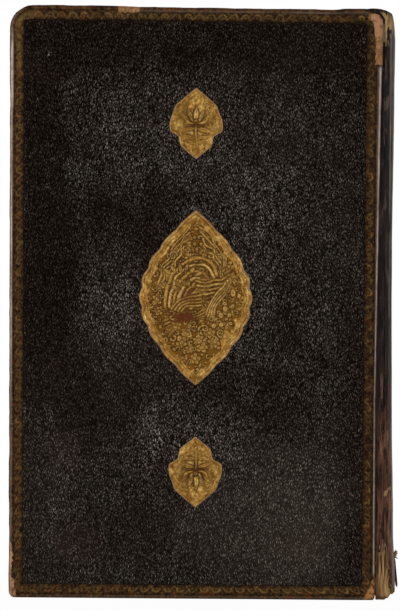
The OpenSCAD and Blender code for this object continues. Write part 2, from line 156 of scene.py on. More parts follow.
class BookColours(PropertyGroup):
    """Colours of the book's materials."""

    black_leather: colour("Black leather", "Valleys of the grained black panels", 8, 4, 2)
    # Painted highlight in part: the grain's tops and their haze are painted paler to stand for the glints
    # of light on the pebbles, as well as for wear and bloom.
    black_tops_wear_and_sheen: colour("Black tops", "Tops of the panels' grain", 58, 49, 42)
    black_haze: colour("Haze", "Grey bloom on the panels", 158, 148, 138)
    brown_leather: colour("Brown leather", "The case leather", 60, 38, 20)
    red_leather: colour("Red-brown leather", "The case leather where its dye has faded", 86, 44, 20)
    tan_leather: colour("Bare leather", "The undyed leather under a worn skin", 155, 120, 82)
    # Partly a painted highlight: the pale lines on the covers' rounded edges stand for the sheen of light
    # on them as well as for skin rubbed pale.
    pale_rub_and_sheen: colour("Pale edge", "Edges that handling has rubbed through to the pale skin", 186, 168, 154)
    roll_gold: colour("Roll gold", "Worn gold of the running scroll", 118, 92, 50)
    gilt: colour("Gilt", "Figures of the gilt onlays", 184, 142, 70)
    gilt_line: colour("Gilt line", "Creases of the gilt onlays", 44, 22, 3)
    gilt_rim: colour("Gilt rim", "Rubbed rims of the onlays", 162, 126, 68)
    gilt_worn: colour("Worn red", "Red-brown wear on the onlays", 78, 34, 20)
    spine_dark: colour("Spine leather", "The dark leather of the spine", 34, 27, 24)
    spine_warm: colour("Faded spine", "The spine towards its tail", 102, 67, 49)
    lining: colour("Lining", "Paper lining bared at the tail of the spine", 177, 144, 97)
    lining_stain: colour("Lining stain", "Glue and dirt in the folds of the lining", 52, 28, 12)
    leaf: colour("Leaf", "The paper of the leaves", 226, 208, 172)
    leaf_edge: colour("Leaf edge", "Dust on the edges of the leaves", 168, 140, 100)
    board: colour("Pasteboard", "The core of a cover", 158, 122, 92)
    silk_warm: colour("Red silk", "First silk of the endbands", 120, 34, 28)
    silk_pale: colour("Pale silk", "Second silk of the endbands", 206, 178, 120)
    thread: colour("Thread", "Sewing thread", 214, 200, 170)


def size(name):
    """A size of the book in millimetres."""
    return getattr(bpy.context.scene.book_sizes, name) * 1000


def paint(name):
    """A colour of the book, with full alpha."""
    return (*getattr(bpy.context.scene.book_colours, name), 1.0)


def unit(values):
    """Keeps values between 0 and 1."""
    return np.clip(values, 0, 1)


def full_turn(count):
    """Angles of as many points round a circle."""
    return np.linspace(0, 2 * np.pi, count + 1)[:-1]


def ease(t):
    """Smoothstep: 0 up to t = 0, 1 from t = 1, and t*t*(3 - 2t) between."""
    t = unit(t)
    return t * t * (3 - 2 * t)


def hill(t):
    """A round hill: 1 at t = 0, down to 0 at t = 1 and -1."""
    return ease(1 - np.abs(t))


def noise(x, z, cell, seed):
    """Value noise from -1 to 1: random heights on a lattice of that cell, eased between its corners."""
    table = np.random.default_rng(seed).uniform(-1, 1, (61, 61))
    u, v = x / cell, z / cell
    i, j = np.floor(u).astype(int), np.floor(v).astype(int)
    a, b = ease(u - i), ease(v - j)
    low = table[i % 61, j % 61] * (1 - a) + table[(i + 1) % 61, j % 61] * a
    high = table[i % 61, (j + 1) % 61] * (1 - a) + table[(i + 1) % 61, (j + 1) % 61] * a
    return low * (1 - b) + high * b


def rough(x, z, cell, seed):
    """Three octaves of value noise, each about half the last."""
    return (
        0.57 * noise(x, z, cell, seed)
        + 0.28 * noise(x, z, cell / 2.1, seed + 1)
        + 0.15 * noise(x, z, cell / 4.3, seed + 2)
    )


def blot(x, z, place, radius, edge, cell, seed):
    """A ragged patch: 1 inside an ellipse of those radii, eased to 0 over the edge share of it."""
    reach = np.hypot((x - place[0]) / radius[0], (z - place[1]) / radius[1])
    return ease((1 + edge / 2 + 0.45 * rough(x, z, cell, seed) - reach) / edge)


def bow(start, bend, end, count=12):
    """Points of a quadratic curve from start to end, drawn towards bend."""
    t = np.linspace(0, 1, count)[:, None]
    start, bend, end = np.array(start, float), np.array(bend, float), np.array(end, float)
    return (1 - t) ** 2 * start + 2 * t * (1 - t) * bend + t ** 2 * end


def curl(centre, radius, turns, start):
    """Points of a spiral about centre that tightens to a third, starting at an angle in turns."""
    t = np.linspace(0, 1, 18)
    angle = 2 * np.pi * (start + turns * t)
    reach = radius * (1 - 0.65 * t)
    return np.stack([centre[0] + reach * np.cos(angle), centre[1] + reach * np.sin(angle)], -1)


def path_distance(x, z, path):
    """Distance from each point to a line of straight steps: the least over its steps."""
    a, b = path[:-1], path[1:]
    run = b - a
    square = np.maximum((run ** 2).sum(1), 1e-9)
    t = unit(((x[:, None] - a[:, 0]) * run[:, 0] + (z[:, None] - a[:, 1]) * run[:, 1]) / square)
    return np.hypot(x[:, None] - a[:, 0] - t * run[:, 0], z[:, None] - a[:, 1] - t * run[:, 1]).min(1)


def from_edges(x, z, left, right, low, high):
    """Distance from each point in to the nearest side of a rectangle."""
    return np.minimum(np.minimum(x - left, right - x), np.minimum(z - low, high - z))


def numbered(*shape):
    """Point numbers in a grid of that shape."""
    return np.arange(math.prod(shape)).reshape(shape)


def grid_faces(index, closed=False):
    """Quads of a grid of point numbers: row then column turns about the outward side."""
    if closed:
        index = np.concatenate([index, index[:, :1]], 1)
    quads = np.stack([index[:-1, :-1], index[1:, :-1], index[1:, 1:], index[:-1, 1:]], -1)
    return quads.reshape(-1, 4)


def rim_loop(index):
    """Point numbers round the edge of a grid, in the turn that a skirt's quads need."""
    return np.concatenate([index[0, :-1], index[:-1, -1], index[-1, :0:-1], index[:0:-1, 0]])


def skirt_faces(upper, lower):
    """Quads between two closed loops of as many points."""
    return np.stack([upper, np.roll(upper, -1), np.roll(lower, -1), lower], -1)


def slab(outer, inner):
    """Closed shell between two grids of points of one size: both faces and the four edges."""
    rows, columns = outer.shape[:2]
    top = numbered(rows, columns)
    under = top + rows * columns
    faces = [grid_faces(top), grid_faces(under)[:, ::-1], skirt_faces(rim_loop(top), rim_loop(under))]
    return np.concatenate([outer.reshape(-1, 3), inner.reshape(-1, 3)]), np.concatenate(faces)


def tube(rings):
    """Points, quads and end caps of rings of points, one after another along a piece."""
    index = numbered(*rings.shape[:2])
    return rings.reshape(-1, 3), grid_faces(index, closed=True), [index[0], index[-1][::-1]]


def settled(points):
    """Puts the book out of square, as age has: its head leans to the fore-edge and falls to the joint.

    x moves by the lean, times the share of the height less a half. z falls by the head's fall,
    times the shares of the width and of the height.
    """
    share = unit(points[:, 2] / BOARD_H)
    fall = size("head_fall") * points[:, 0] / (X_JOINT - X_FORE) * share
    return np.stack([points[:, 0] - size("lean") * (share - 0.5), points[:, 1], points[:, 2] - fall], -1)


def make_piece(name, points, quads, material, caps=(), masks=None, crease=50):
    """Puts points in millimetres, quads and many-sided caps into a new mesh object at the origin.

    masks holds a number for each point, by attribute name. Unused points are left out.
    """
    caps = [np.asarray(cap) for cap in caps]
    used, order = np.unique(np.concatenate([quads.ravel(), *caps]), return_inverse=True)
    totals = np.concatenate([np.full(len(quads), 4), [len(cap) for cap in caps]]).astype(np.int32)
    starts = np.concatenate([[0], np.cumsum(totals)[:-1]]).astype(np.int32)
    mesh = bpy.data.meshes.new(name)
    mesh.vertices.add(len(used))
    mesh.vertices.foreach_set("co", (settled(points[used]) / 1000).astype(np.float32).ravel())
    mesh.loops.add(len(order))
    mesh.loops.foreach_set("vertex_index", order.astype(np.int32).ravel())
    mesh.polygons.add(len(totals))
    mesh.polygons.foreach_set("loop_start", starts)
    mesh.update(calc_edges=True)
    mesh.validate()
    mesh.shade_smooth()
    mesh.set_sharp_from_angle(angle=math.radians(crease))
    for key, values in (masks or {}).items():
        attribute = mesh.attributes.new(key, "FLOAT", "POINT")
        attribute.data.foreach_set("value", np.asarray(values, np.float32).ravel()[used])
    mesh.materials.append(material)
    made = bpy.data.objects.new(name, mesh)
    bpy.context.scene.collection.objects.link(made)
    return made


def stand_for(piece, body, slot, *nodes):
    """The piece rides on a body and stands for CAD nodes, which are hidden. The slot is not used."""
    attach(piece, body)
    if nodes:
        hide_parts(*nodes)


# How close the points lie on the front cover and on the back one
STEPS = {FRONT: 0.45, BACK: 1.3}
LEAST_RADIUS = 0.35
CORNER_STEPS = 8


def joint_lean(z):
    """How far a cover's joint edge lies in from the joint at height z."""
    top = BOARD_H - size("joint_corner")
    return size("joint_inset") + size("joint_skew") * unit((top - z) / (top - size("skew_height")))


def skewed(x, z):
    """Moves points near the joint towards the fore-edge: all of the joint's lean at its edge,
    the border's lean from the border inwards, fading to none at the onlays."""
    margin = size("joint_margin")
    share = ease((x - X_JOINT + margin) / margin)
    border = size("border_skew") * unit((PANEL_HIGH[2] - z) / (PANEL_HIGH[2] - PANEL_LOW[2]))
    fade = unit((x - ONLAY_X - 30) / (PANEL_HIGH[0] - ONLAY_X - 30))
    return x - fade * (share * joint_lean(z) + (1 - share) * border)


def cover_loop(inset, joint_inset, step):
    """Points round a cover, anticlockwise from the corner of fore-edge and tail.

    Four quarter circles, whose radii shrink with the inset down to a least one, and the straight
    sides between them, each with the same number of points at every inset.
    Returns (points, place along the side, number of the side).
    """
    low = np.array([X_FORE + inset, inset])
    high = np.array([X_JOINT - joint_inset, BOARD_H - inset])
    rounds = np.array([size("tail_corner"), 2 * size("leather"), size("joint_corner"), size("head_corner")])
    radii = np.maximum(rounds - inset, LEAST_RADIUS)
    corners = np.array([low, [high[0], low[1]], high, [low[0], high[1]]])
    centres = corners + np.array([[1, 1], [-1, 1], [-1, -1], [1, -1]]) * radii[:, None]
    turn = np.linspace(0, np.pi / 2, CORNER_STEPS + 1)
    arcs = []
    for k in range(4):
        angle = turn + np.pi * (1 + k / 2)
        arcs.append(centres[k] + radii[k] * np.stack([np.cos(angle), np.sin(angle)], -1))
    runs = [X_JOINT - X_FORE, BOARD_H, X_JOINT - X_FORE, BOARD_H]
    points, sides = [], []
    for k in range(4):
        count = int(runs[k] / step)
        share = np.linspace(0, 1, count + 2)[1:-1, None]
        points += [arcs[k], arcs[k][-1] * (1 - share) + arcs[(k + 1) % 4][0] * share]
        half = CORNER_STEPS // 2
        sides += [[(k - 1) % 4] * half + [k] * (CORNER_STEPS + 1 - half + count)]
    points, sides = np.concatenate(points), np.concatenate(sides)
    along = np.where(sides % 2 == 0, points[:, 0], points[:, 1])
    return points, along, sides


def scroll(along, across):
    """The roll's running pattern, 0 to 1: arches side by side, a bud in each and a leaf between two.

    along counts in turns of the roll, and across runs from -1 to 1 over the border.
    """
    pitch = size("roll_pitch")
    half = size("border_width") / 2
    near = (along + 0.5) % 1 - 0.5
    height = across * half + 0.55
    reach = np.hypot(near * pitch * 1.05, height)
    rise = hill((reach - 1.45) / 0.62) * (height > -0.35)
    rise = np.maximum(rise, 0.9 * hill(np.hypot(near * pitch, height - 0.15) / 0.62))
    between_arches = (along % 1 - 0.5) * pitch
    rise = np.maximum(rise, 0.8 * hill(np.hypot(between_arches / 0.75, (height + 0.55) / 0.8)))
    return np.maximum(rise, 0.7 * hill(np.hypot(between_arches / 0.5, (height - 1.9) / 0.55)))


def front_bare(x, z):
    """Where the front case leather has lost its dyed skin: beside the head of the joint, along the
    tail of the fore-edge, at the head edge, and at the tail corner of the joint."""
    left = np.interp(z, [222.5, 234, 237, 240, 241.7, 243.4], [70.5, 70.4, 70.1, 69.2, 67.2, 67.9])
    ragged = 0.25 * noise(x, z, 1.1, 31) + 0.3 * noise(x, z, 3.3, 32) * (z < 30)
    patch = ease((x - left + ragged) / 0.5) * ease((z - 221.9 + 0.4 * ragged) / 0.4)
    patch = patch * ease((243.5 - z + ragged) / 0.5)
    reach = np.interp(z, [0, 7, 9, 16, 24, 30], [3.6, 3.2, 2.2, 1.9, 0.9, 0])
    fore = 0.62 * ease((X_FORE + reach - x + 2 * ragged) / 0.8)
    head = ease((z - 242.3 + 1.4 * ragged) / 0.5) * ease((x + 36.2 + ragged) / 0.5)
    head = head * ease((-26.4 - x + ragged) / 1.2)
    left_tail = np.interp(z, [0, 3, 6.4, 9.5, 12], [65.6, 67.4, 69, 70.2, 72])
    tail = ease((x - left_tail + ragged) / 0.5) * ease((11.6 - z) / 0.6)
    return unit(patch + fore + head + tail), tail


def case_profile(side):
    """The case leather's section as rows of (inset, inset at the joint, level), a closed loop.

    From under the panel it runs out over the border, rounds the edge, turns in over the board,
    and comes back along the core.
    """
    margin, width = size("border_margin"), size("border_width")
    shift = size("joint_margin") - margin
    radius, leather, turn_in = size("edge_round"), size("leather"), size("turn_in")
    band = np.linspace(margin + width + 0.2, margin - 0.2, 19 if side == FRONT else 11)
    turn = np.radians(np.linspace(0, 90, 8))
    turns = 1 - np.sin(turn)
    rows = [[9.5, 9.5 + shift, Y_FACE - 0.5], [8, 8 + shift, Y_FACE - 0.12]]
    rows += [[b, b + shift, Y_FACE] for b in band]
    rows += [[radius * t, radius * t, Y_FACE - radius * (1 - c)] for t, c in zip(turns, np.cos(turn))]
    rows += [[0, 0, Y_FACE - radius - 0.35], [0, 0, Y_FACE - radius - 0.8], [0, 0, Y_INNER + 0.9]]
    for s, c in zip(np.sin(turn[2::2]), np.cos(turn[2::2])):
        rows.append([0.9 * (1 - c), 0.5 * (1 - c), Y_INNER + 0.9 * (1 - s)])
    rows += [[b, 0.75, Y_INNER] for b in np.linspace(2, turn_in, 8)]
    rows += [[turn_in + 0.15, 0.8, Y_INNER + 0.3], [turn_in, 0.85, Y_CORE]]
    rows += [[b, 0.88, Y_CORE] for b in (8, 2)]
    rows += [[leather, leather + 0.1, Y_CORE + 0.3], [leather, leather + 0.1, Y_CASE - 0.3]]
    rows += [[1.2, 1.4, Y_CASE], [5, 5 + shift, Y_CASE], [9.5, 9.5 + shift, Y_CASE]]
    return np.array(rows)


def roll_gilding(x, z, side):
    """How much of the roll's gold is left: most at the tail's joint end and the head's fore-edge."""
    seed = 8 if side == FRONT else 58
    left = 0.48 + 0.5 * rough(x, z, 13, seed)
    left = left + 0.55 * ease((12 - z) / 4) * ease((x + 30) / 60)
    left = left + 0.45 * blot(x, z, (X_FORE + 4, 232), (9, 16), 0.8, 6, seed) + 0.3 * ease((z - 236) / 3)
    left = left + 0.3 * ease((10 - z) / 3) + 0.7 * noise(x, z, 2.1, 83) * ease((x - 60) / 4)
    left = left - 0.35 * ease((x - 10) / 50) * ease((z - 228) / 8)
    return unit(left) * (0.65 + 0.35 * noise(x, z, 1.7, seed + 1))


def pale_rub_and_sheen_edges(x, z, inset, sides, side):
    """Pale lines along the covers' edges, partly skin rubbed pale by handling and partly a painted
    highlight of the sheen on the rounded edges: a line along the fore-edge, one at the joint's fold, and
    fainter ones at head and tail."""
    seed = 9 if side == FRONT else 59
    worn = 0.7 + 0.5 * rough(x, z, 15, seed)
    fore = (sides == 3) * hill((inset - 0.72) / 0.5) * ease((z - 70) / 50) * ease((232 - z) / 8) * worn
    fore = fore + (sides == 3) * 0.35 * hill((inset - 0.8) / 0.5) * worn
    fore = fore + (sides == 3) * 0.6 * hill((inset - 1.1) / 0.7) * ease((z - 200) / 8) * ease((236 - z) / 6)
    joint = (sides == 1) * hill((inset - 0.78) / 1.0) * unit(worn + 0.25)
    joint = joint * ease((222 - z) / 2) * ease((z - 9) / 3)
    head = (sides == 2) * 0.2 * hill((inset - 1.75) / 0.45) * ease((x + 28) / 4) * worn
    tail = (sides == 0) * 0.1 * hill((inset - 0.9) / 0.7) * worn
    return unit(fore + joint + head + tail)


def case_leather(side):
    """The brown case leather of a cover: its section carried round the cover's outline."""
    step = STEPS[side]
    profile = case_profile(side)
    margin, width = size("border_margin"), size("border_width")
    loops = [cover_loop(inset, joint_inset, step) for inset, joint_inset, level in profile]
    flat = np.stack([points for points, along, sides in loops])
    along, sides = loops[0][1], loops[0][2]
    rows, count = flat.shape[:2]
    x, z = flat[..., 0], flat[..., 1]
    seed = 5 if side == FRONT else 55
    edge = ease((2 - profile[:, 0]) / 2)[:, None]
    wobble = edge * 0.22 * rough(x + z, x - z, 9, seed)
    x = skewed(x + wobble * np.sign(X_FORE / 2 - x), z)
    z = np.maximum(z + wobble * np.sign(BOARD_H / 2 - z) * (z > 20), 0)
    z = lowered(x, z)
    level = np.repeat(profile[:, 2:], count, 1)
    across = 1 - 2 * (profile[:, :1] - margin) / width
    outer = (level > Y_FACE - 0.05) & (np.abs(across) <= 1.12)
    pattern = scroll(along / size("roll_pitch"), across) * (np.abs(across) < 0.9)
    fillets = hill((np.abs(across) - 0.97) / 0.12)
    kept = roll_gilding(x, z, side)
    corner = hill((profile[:, :1] - 3.4) / 2.2) * blot(x, z, (X_FORE + 4, 233), (9, 15), 0.8, 4, seed + 1)
    corner = corner * ease(0.45 + 0.9 * rough(x, z, 2.4, seed + 4))
    gold = np.where(outer, np.maximum(pattern * kept, 0.85 * corner), 0)
    level = level + np.where(outer, size("roll_relief") * (pattern * (0.4 + 0.6 * kept) - 0.8 * fillets), 0)
    face = level > Y_FACE - 1.6
    level = level + np.where(face, 0.06 * rough(x, z, 5, seed + 7), 0)
    if side == FRONT:
        bare, tail = front_bare(x, z)
        bare, tail = bare * face, tail * (level > Y_CORE)
        level = level - size("wear") * bare - 0.25 * tail * face
    else:
        bare = ease((rough(x + 2.3 * level, z + 1.7 * level, 4, 77) - 0.72 + 0.4 * edge) / 0.3) * edge
        tail = 0 * x
    inset = np.where(sides == 1, profile[:, 1:2], profile[:, :1])
    # Pale lines on the edges: rubbed skin and a painted highlight of the sheen.
    pale = pale_rub_and_sheen_edges(x, z, inset, sides, side) * (level > Y_FACE - 1.75)
    rubbed = ease((2.2 - inset) / 1.2) * face * ease(0.4 + rough(x, z, 7, seed + 9)) * (sides != 0)
    # The dark mask is partly painted shade: in the roll's fillet grooves, between its raised figures, and
    # along the outermost rounding of the edges. It is also darker leather along the joint margin, at the
    # head by the joint and towards the border's joint end.
    dark = np.where(outer, 0.6 * fillets + 0.4 * (1 - pattern), 0)
    dark = dark + ease((0.35 - inset) / 0.3) * face * (sides != 1)
    # Painted shadow of the panel's rim along the border's inner side.
    panel_edge_shadow = ease((inset - 4.9 - 0.4 * noise(x, z, 3, seed + 3)) / 0.9)
    dark = np.maximum(dark, 0.9 * face * panel_edge_shadow * (sides != 1))
    dark = np.maximum(dark, 0.7 * face * (sides == 1) * ease((3.1 - inset) / 0.6) * (1 - bare))
    dark = np.maximum(dark, 0.8 * face * ease((z - 244.3) / 0.3) * ease((x - 54) / 3))
    dark = np.maximum(dark, 0.6 * outer * ease((x - 60) / 3) * (1 - 0.8 * unit(gold)))
    dark = (dark + 0.12 * outer * (z > 236)) * (1 - 0.25 * outer * ease((10 - z) / 3))
    points = np.stack([x, side * level, z], -1).reshape(-1, 3)
    index = numbered(rows, count)
    quads = grid_faces(np.concatenate([index, index[:1]]), closed=True)
    masks = {"gold": gold, "bare": bare, "core": tail, "rubbed": rubbed, "dark": unit(dark), "pale": pale}
    name = NAMES[side]
    piece = make_piece(name + "_case", points, quads[:, ::-side], case_material(), masks=masks, crease=60)
    stand_for(piece, name + "_cover", "case_leather", name + "_case_leather")


def lowered(x, z):
    """Lowers a cover's corner of head and joint, where the spine's cap laps over it, and lifts the
    head edge a little before it."""
    drop = size("lobe") * ease((x - 66.5) / 4) * ease((z - 234) / 9)
    lift = 0.42 * ease((x - 54) / 4) * ease((71 - x) / 4) * ease((z - 242.2) / 2)
    lift = lift + 0.38 * ease((x + 78) / 8) * ease((-22 - x) / 14) * ease((z - 240) / 4)
    return z - drop + lift


def board_core(side):
    """The pasteboard of a cover: its outline carried through its thickness, inside the case leather."""
    leather = size("leather")
    rows = np.array([
        [leather + 0.4, Y_CASE - 0.03], [leather + 0.04, Y_CASE - 0.35],
        [leather + 0.04, Y_CORE + 0.35], [leather + 0.4, Y_CORE + 0.03],
    ])
    flat = np.stack([cover_loop(inset, inset + 0.12, 2.0)[0] for inset, level in rows])
    x, z = skewed(flat[..., 0], flat[..., 1]), lowered(flat[..., 0], flat[..., 1])
    points, quads, caps = tube(np.stack([x, side * np.repeat(rows[:, 1:], x.shape[1], 1), z], -1))
    quads, caps = quads[:, ::-side], [cap[::-side] for cap in caps]
    name = NAMES[side]
    material = plain_fibre("pasteboard", paint("board"), dye(120, 84, 56), 300.0)
    piece = make_piece(name + "_pasteboard", points, quads, material, caps=caps)
    stand_for(piece, name + "_cover", "pasteboard", name + "_board")


def panel_lines(low, high, step, middle=None):
    """Grid lines from low to high, about a step apart, closer at both ends and beside a middle line."""
    ends = np.array([0, 0.12, 0.3, 0.55, 0.85, 1.2])
    stops = [low + 1.2, high - 1.2]
    runs = [low + ends, high - ends]
    if middle is not None:
        stops[1:1] = [middle - 0.8, middle + 0.8]
        runs += [middle + np.array([-0.5, -0.25, 0, 0.25, 0.5])]
    for a, b in zip(stops[::2], stops[1::2]):
        runs += [np.linspace(a, b, max(2, round((b - a) / step)))]
    return np.unique(np.round(np.concatenate(runs), 4))


def panel_level(x, z, side):
    """Height of a panel's surface: its level, slow waves, rounded edges and, in front, the blind line."""
    seed = 11 if side == FRONT else 61
    right = skewed(np.full_like(z, PANEL_HIGH[0]), z)
    inset = from_edges(x, z, PANEL_LOW[0], right, PANEL_LOW[2], PANEL_HIGH[2])
    drop = (Y_PANEL - Y_FACE - 0.06) * (1 - np.sqrt(unit(1 - (1 - unit(inset / 1.25)) ** 2)))
    waves = 0.09 * noise(x, z, 31, seed) + 0.05 * noise(x, z, 11, seed + 1)
    waves = waves + 0.03 * noise(x, z, 3.7, seed + 2)
    level = Y_PANEL - drop + waves * ease(inset / 4)
    if side == FRONT:
        reach = onlay_reach(1) - 8
        line = hill((x - ONLAY_X - 0.25 * noise(z, z, 17, 3)) / 0.5) * (np.abs(z - ALMOND_Z) < reach)
        level = level - 0.13 * line * ease(0.75 + noise(z, x, 9, 4))
    return level


def onlay_reach(place):
    """Distance from the almond's middle to the middle of an onlay."""
    low, high = span(ONLAYS[place])
    return (low[2] + high[2]) / 2 - ALMOND_Z


def almond_half(v, width, lobes=9, notch=0.9):
    """Half the almond's width at height v from -1 to 1: a pointed oval with rounded lobes."""
    swell = width / 2 * np.cos(np.pi / 2 * v) ** 0.9
    return swell - notch * (1 - np.abs(np.sin(np.pi / 2 * lobes * (v + 1)))) * (1 - v ** 6)


# Half a pendant's outline as (share of half the width, height from -1 to 1), from tip to tip
PENDANT_SIDE = np.array([
    [0, -1], [0.28, -0.86], [0.5, -0.72], [0.59, -0.62], [0.66, -0.34], [0.97, -0.26], [1, -0.08],
    [0.97, 0.1], [0.86, 0.3], [0.78, 0.5], [0.53, 0.67], [0.27, 0.84], [0, 1],
])


def onlay_half(place, v, low, high):
    """Half an onlay's width at height v from -1, the tail tip, to 1, the head tip."""
    width = high[0] - low[0]
    if place == 0:
        return almond_half(v, width)
    share, height = PENDANT_SIDE.T
    drawn = [np.interp(v * place + step, height, share) for step in (-0.045, 0, 0.045)]
    return width / 2 * np.minimum(np.mean(drawn, 0) * 1.01, 1.6 * (1 - np.abs(v)) + 0.02)


def onlay_heights(place, count):
    """Heights v of an onlay's rows; a pendant's outline points are among them."""
    v = np.linspace(-1, 1, count)
    if place:
        v = np.unique(np.concatenate([v, PENDANT_SIDE[:, 1] * place]))
    return np.clip(v, -0.9985, 0.9985)


def onlay_loop(place, low, high, count=240):
    """Points round an onlay, anticlockwise from its tail tip."""
    v = onlay_heights(place, count)
    half = np.maximum(onlay_half(place, v, low, high), 0.05)
    middle, rise = (low + high) / 2, (high[2] - low[2]) / 2
    right = np.stack([middle[0] + half, middle[2] + rise * v], -1)
    left = np.stack([middle[0] - half, middle[2] + rise * v], -1)
    return np.concatenate([right, left[::-1]])


def panel(side):
    """A black grained panel: a height map on a grid, and in front rings of points that lead
    from the grid down into each onlay's pocket. Its underside is the same grid on the case leather."""
    step = 1.0 if side == FRONT else 2.2
    xs = panel_lines(PANEL_LOW[0], PANEL_HIGH[0], step, ONLAY_X if side == FRONT else None)
    zs = panel_lines(PANEL_LOW[2], PANEL_HIGH[2], step)
    x, z = np.meshgrid(xs, zs, indexing="ij")
    index = numbered(*x.shape)
    keep = np.ones((len(xs) - 1, len(zs) - 1), bool)
    points = [np.stack([skewed(x, z), z], -1).reshape(-1, 2)]
    levels = [panel_level(points[0][:, 0], points[0][:, 1], side)]
    rings, loops = [], []
    if side == FRONT:
        for place, node in ONLAYS.items():
            low, high = span(node)
            i0, i1 = np.searchsorted(xs, [low[0] - 2.6, high[0] + 2.6])
            j0, j1 = np.searchsorted(zs, [low[2] - 2.6, high[2] + 2.6])
            keep[i0:i1, j0:j1] = False
            border = rim_loop(index[i0:i1 + 1, j0:j1 + 1])[::-1]
            outline = onlay_loop(place, low, high)
            middle = np.array([ONLAY_X, (low[2] + high[2]) / 2])
            ring, ring_levels = pocket_rings(outline, middle, points[0][border], side)
            start = sum(len(p) for p in points)
            numbers = start + numbered(*ring.shape[:2])
            points.append(ring.reshape(-1, 2))
            levels.append(ring_levels.ravel())
            rings.append(grid_faces(np.concatenate([numbers, border[None]]), closed=True))
            loops.append(numbers[0])
    points, levels = np.concatenate(points), np.concatenate(levels)
    cells = grid_faces(index).reshape(*keep.shape, 4)[keep]
    top = np.concatenate([cells, *rings])
    total = len(points)
    under = np.minimum(levels - 0.08, Y_FACE - 0.02)
    faces = [top, top[:, ::-1] + total, skirt_faces(rim_loop(index), rim_loop(index) + total)]
    faces += [skirt_faces(loop, loop + total) for loop in loops]
    both = np.concatenate([points, points])
    level = np.concatenate([levels, under])
    co = np.stack([both[:, 0], side * level, both[:, 1]], -1)
    masks = panel_masks(both[:, 0], both[:, 1], side)
    name = NAMES[side]
    quads = np.concatenate(faces)[:, ::-side]
    piece = make_piece(name + "_grained_panel", co, quads, panel_material(), masks=masks)
    stand_for(piece, name + "_cover", "panel_leather", name + "_panel")


def pocket_rings(outline, middle, border, side):
    """Rings from an onlay's pocket out to the loop of grid points round it.

    Each ring takes the border's directions from the middle. Near the outline a ring keeps a
    fixed distance from it, and further out it is shared between outline and border.
    """
    angle = np.arctan2(outline[:, 1] - middle[1], outline[:, 0] - middle[0])
    reach = np.hypot(outline[:, 0] - middle[0], outline[:, 1] - middle[1])
    order = np.argsort(angle)
    offset = border - middle
    way = np.arctan2(offset[:, 1], offset[:, 0])
    near = np.interp(way, angle[order], reach[order], period=2 * np.pi)
    far = np.hypot(offset[:, 0], offset[:, 1])
    heading = np.stack([np.cos(way), np.sin(way)], -1)
    steps = [(0.12, Y_FACE - 0.4), (0.15, Y_FACE + 0.05)]
    steps += [(out, None) for out in (0.22, 0.4, 0.75, 1.2)]
    rings, levels = [], []
    for out, level in steps:
        ring = middle + heading * (near + out)[:, None]
        surface = panel_level(ring[:, 0], ring[:, 1], side)
        drop = 0.22 * (1 - unit((out - 0.15) / 1.0)) ** 2
        rings.append(ring)
        levels.append(np.full(len(ring), level) if level else surface - drop)
    for share in (0.3, 0.6):
        ring = middle + heading * (near + 1.2 + (far - near - 1.2) * share)[:, None]
        rings.append(ring)
        levels.append(panel_level(ring[:, 0], ring[:, 1], side))
    return np.stack(rings), np.stack(levels)


def panel_masks(x, z, side):
    """Slow changes of a panel's colour: grey haze that lightens the grain's tops, whose paler colour is
    partly a painted highlight, a dull veil, purple-brown scuffs.
    """
    seed = 21 if side == FRONT else 71
    haze = 0.17 + 0.22 * rough(x, z, 26, seed) + 0.14 * rough(x, z, 7, seed + 2)
    veil = 0.25 * ease((150 - z) / 160) + 0.10 * rough(x, z, 30, seed + 4)
    scuff = ease((rough(x, z, 12, seed + 5) - 0.2) / 0.6) * 0.25
    if side == FRONT:
        for place, radius, amount in (
            ((-24, 184), (27, 18), 0.24), ((2, 172), (15, 20), 0.2), ((-38, 122), (13, 22), 0.32),
            ((20, 122), (10, 30), 0.3), ((-64, 54), (9, 30), 0.15), ((-2, 66), (24, 15), 0.4),
            ((-56, 172), (8, 10), 0.15), ((24, 166), (12, 14), 0.2), ((-48, 96), (12, 13), -0.2),
            ((-48, 54), (10, 12), -0.1), ((44, 122), (10, 14), 0.14), ((54, 74), (12, 24), -0.1),
            ((-30, 168), (24, 8), -0.1),
        ):
            haze = haze + amount * blot(x, z, place, radius, 1.1, 6, seed + 9)
        for place, radius, amount in (
            ((20, 32), (30, 26), 0.55), ((44, 34), (18, 24), 0.45), ((52, 44), (12, 36), 0.2),
            ((-66, 34), (10, 34), 0.12), ((-30, 108), (24, 30), 0.12), ((56, 130), (10, 50), 0.12),
            ((30, 180), (30, 40), 0.10),
        ):
            veil = veil + amount * blot(x, z, place, radius, 1.1, 9, seed + 10)
        haze = haze - 0.24 * ease((z - 210) / 16) - 0.3 * blot(x, z, (-66, 130), (10, 90), 0.9, 8, 12)
        haze = haze - 0.2 * blot(x, z, (-44, 78), (16, 12), 1.0, 8, 14)
        for place, radius in (((-58, 61), (6, 8)), ((-52, 24), (9, 7)), ((40, 22), (10, 7))):
            scuff = np.maximum(scuff, 0.7 * blot(x, z, place, radius, 1.2, 5, seed + 3))
        quiet = ease((x - 51) / 9) * (1 - 0.6 * ease((z - 80) / 60))
        haze, veil = haze * (1 - 0.6 * quiet), veil * (1 - 0.55 * quiet)
        for place in ((-69.6, 205.9), (-63.0, 181.4), (65.8, 232.4), (-64.2, 224.9), (-65.4, 170.2)):
            haze = haze + 1.4 * hill(np.hypot(x - place[0], z - place[1]) / 1.1)
        haze = haze + 0.5 * hill((z - 89.1 - 0.04 * (x + 56)) / 0.9) * hill((x + 56) / 5)
    return {"haze": unit(haze), "veil": unit(veil), "scuff": unit(scuff)}


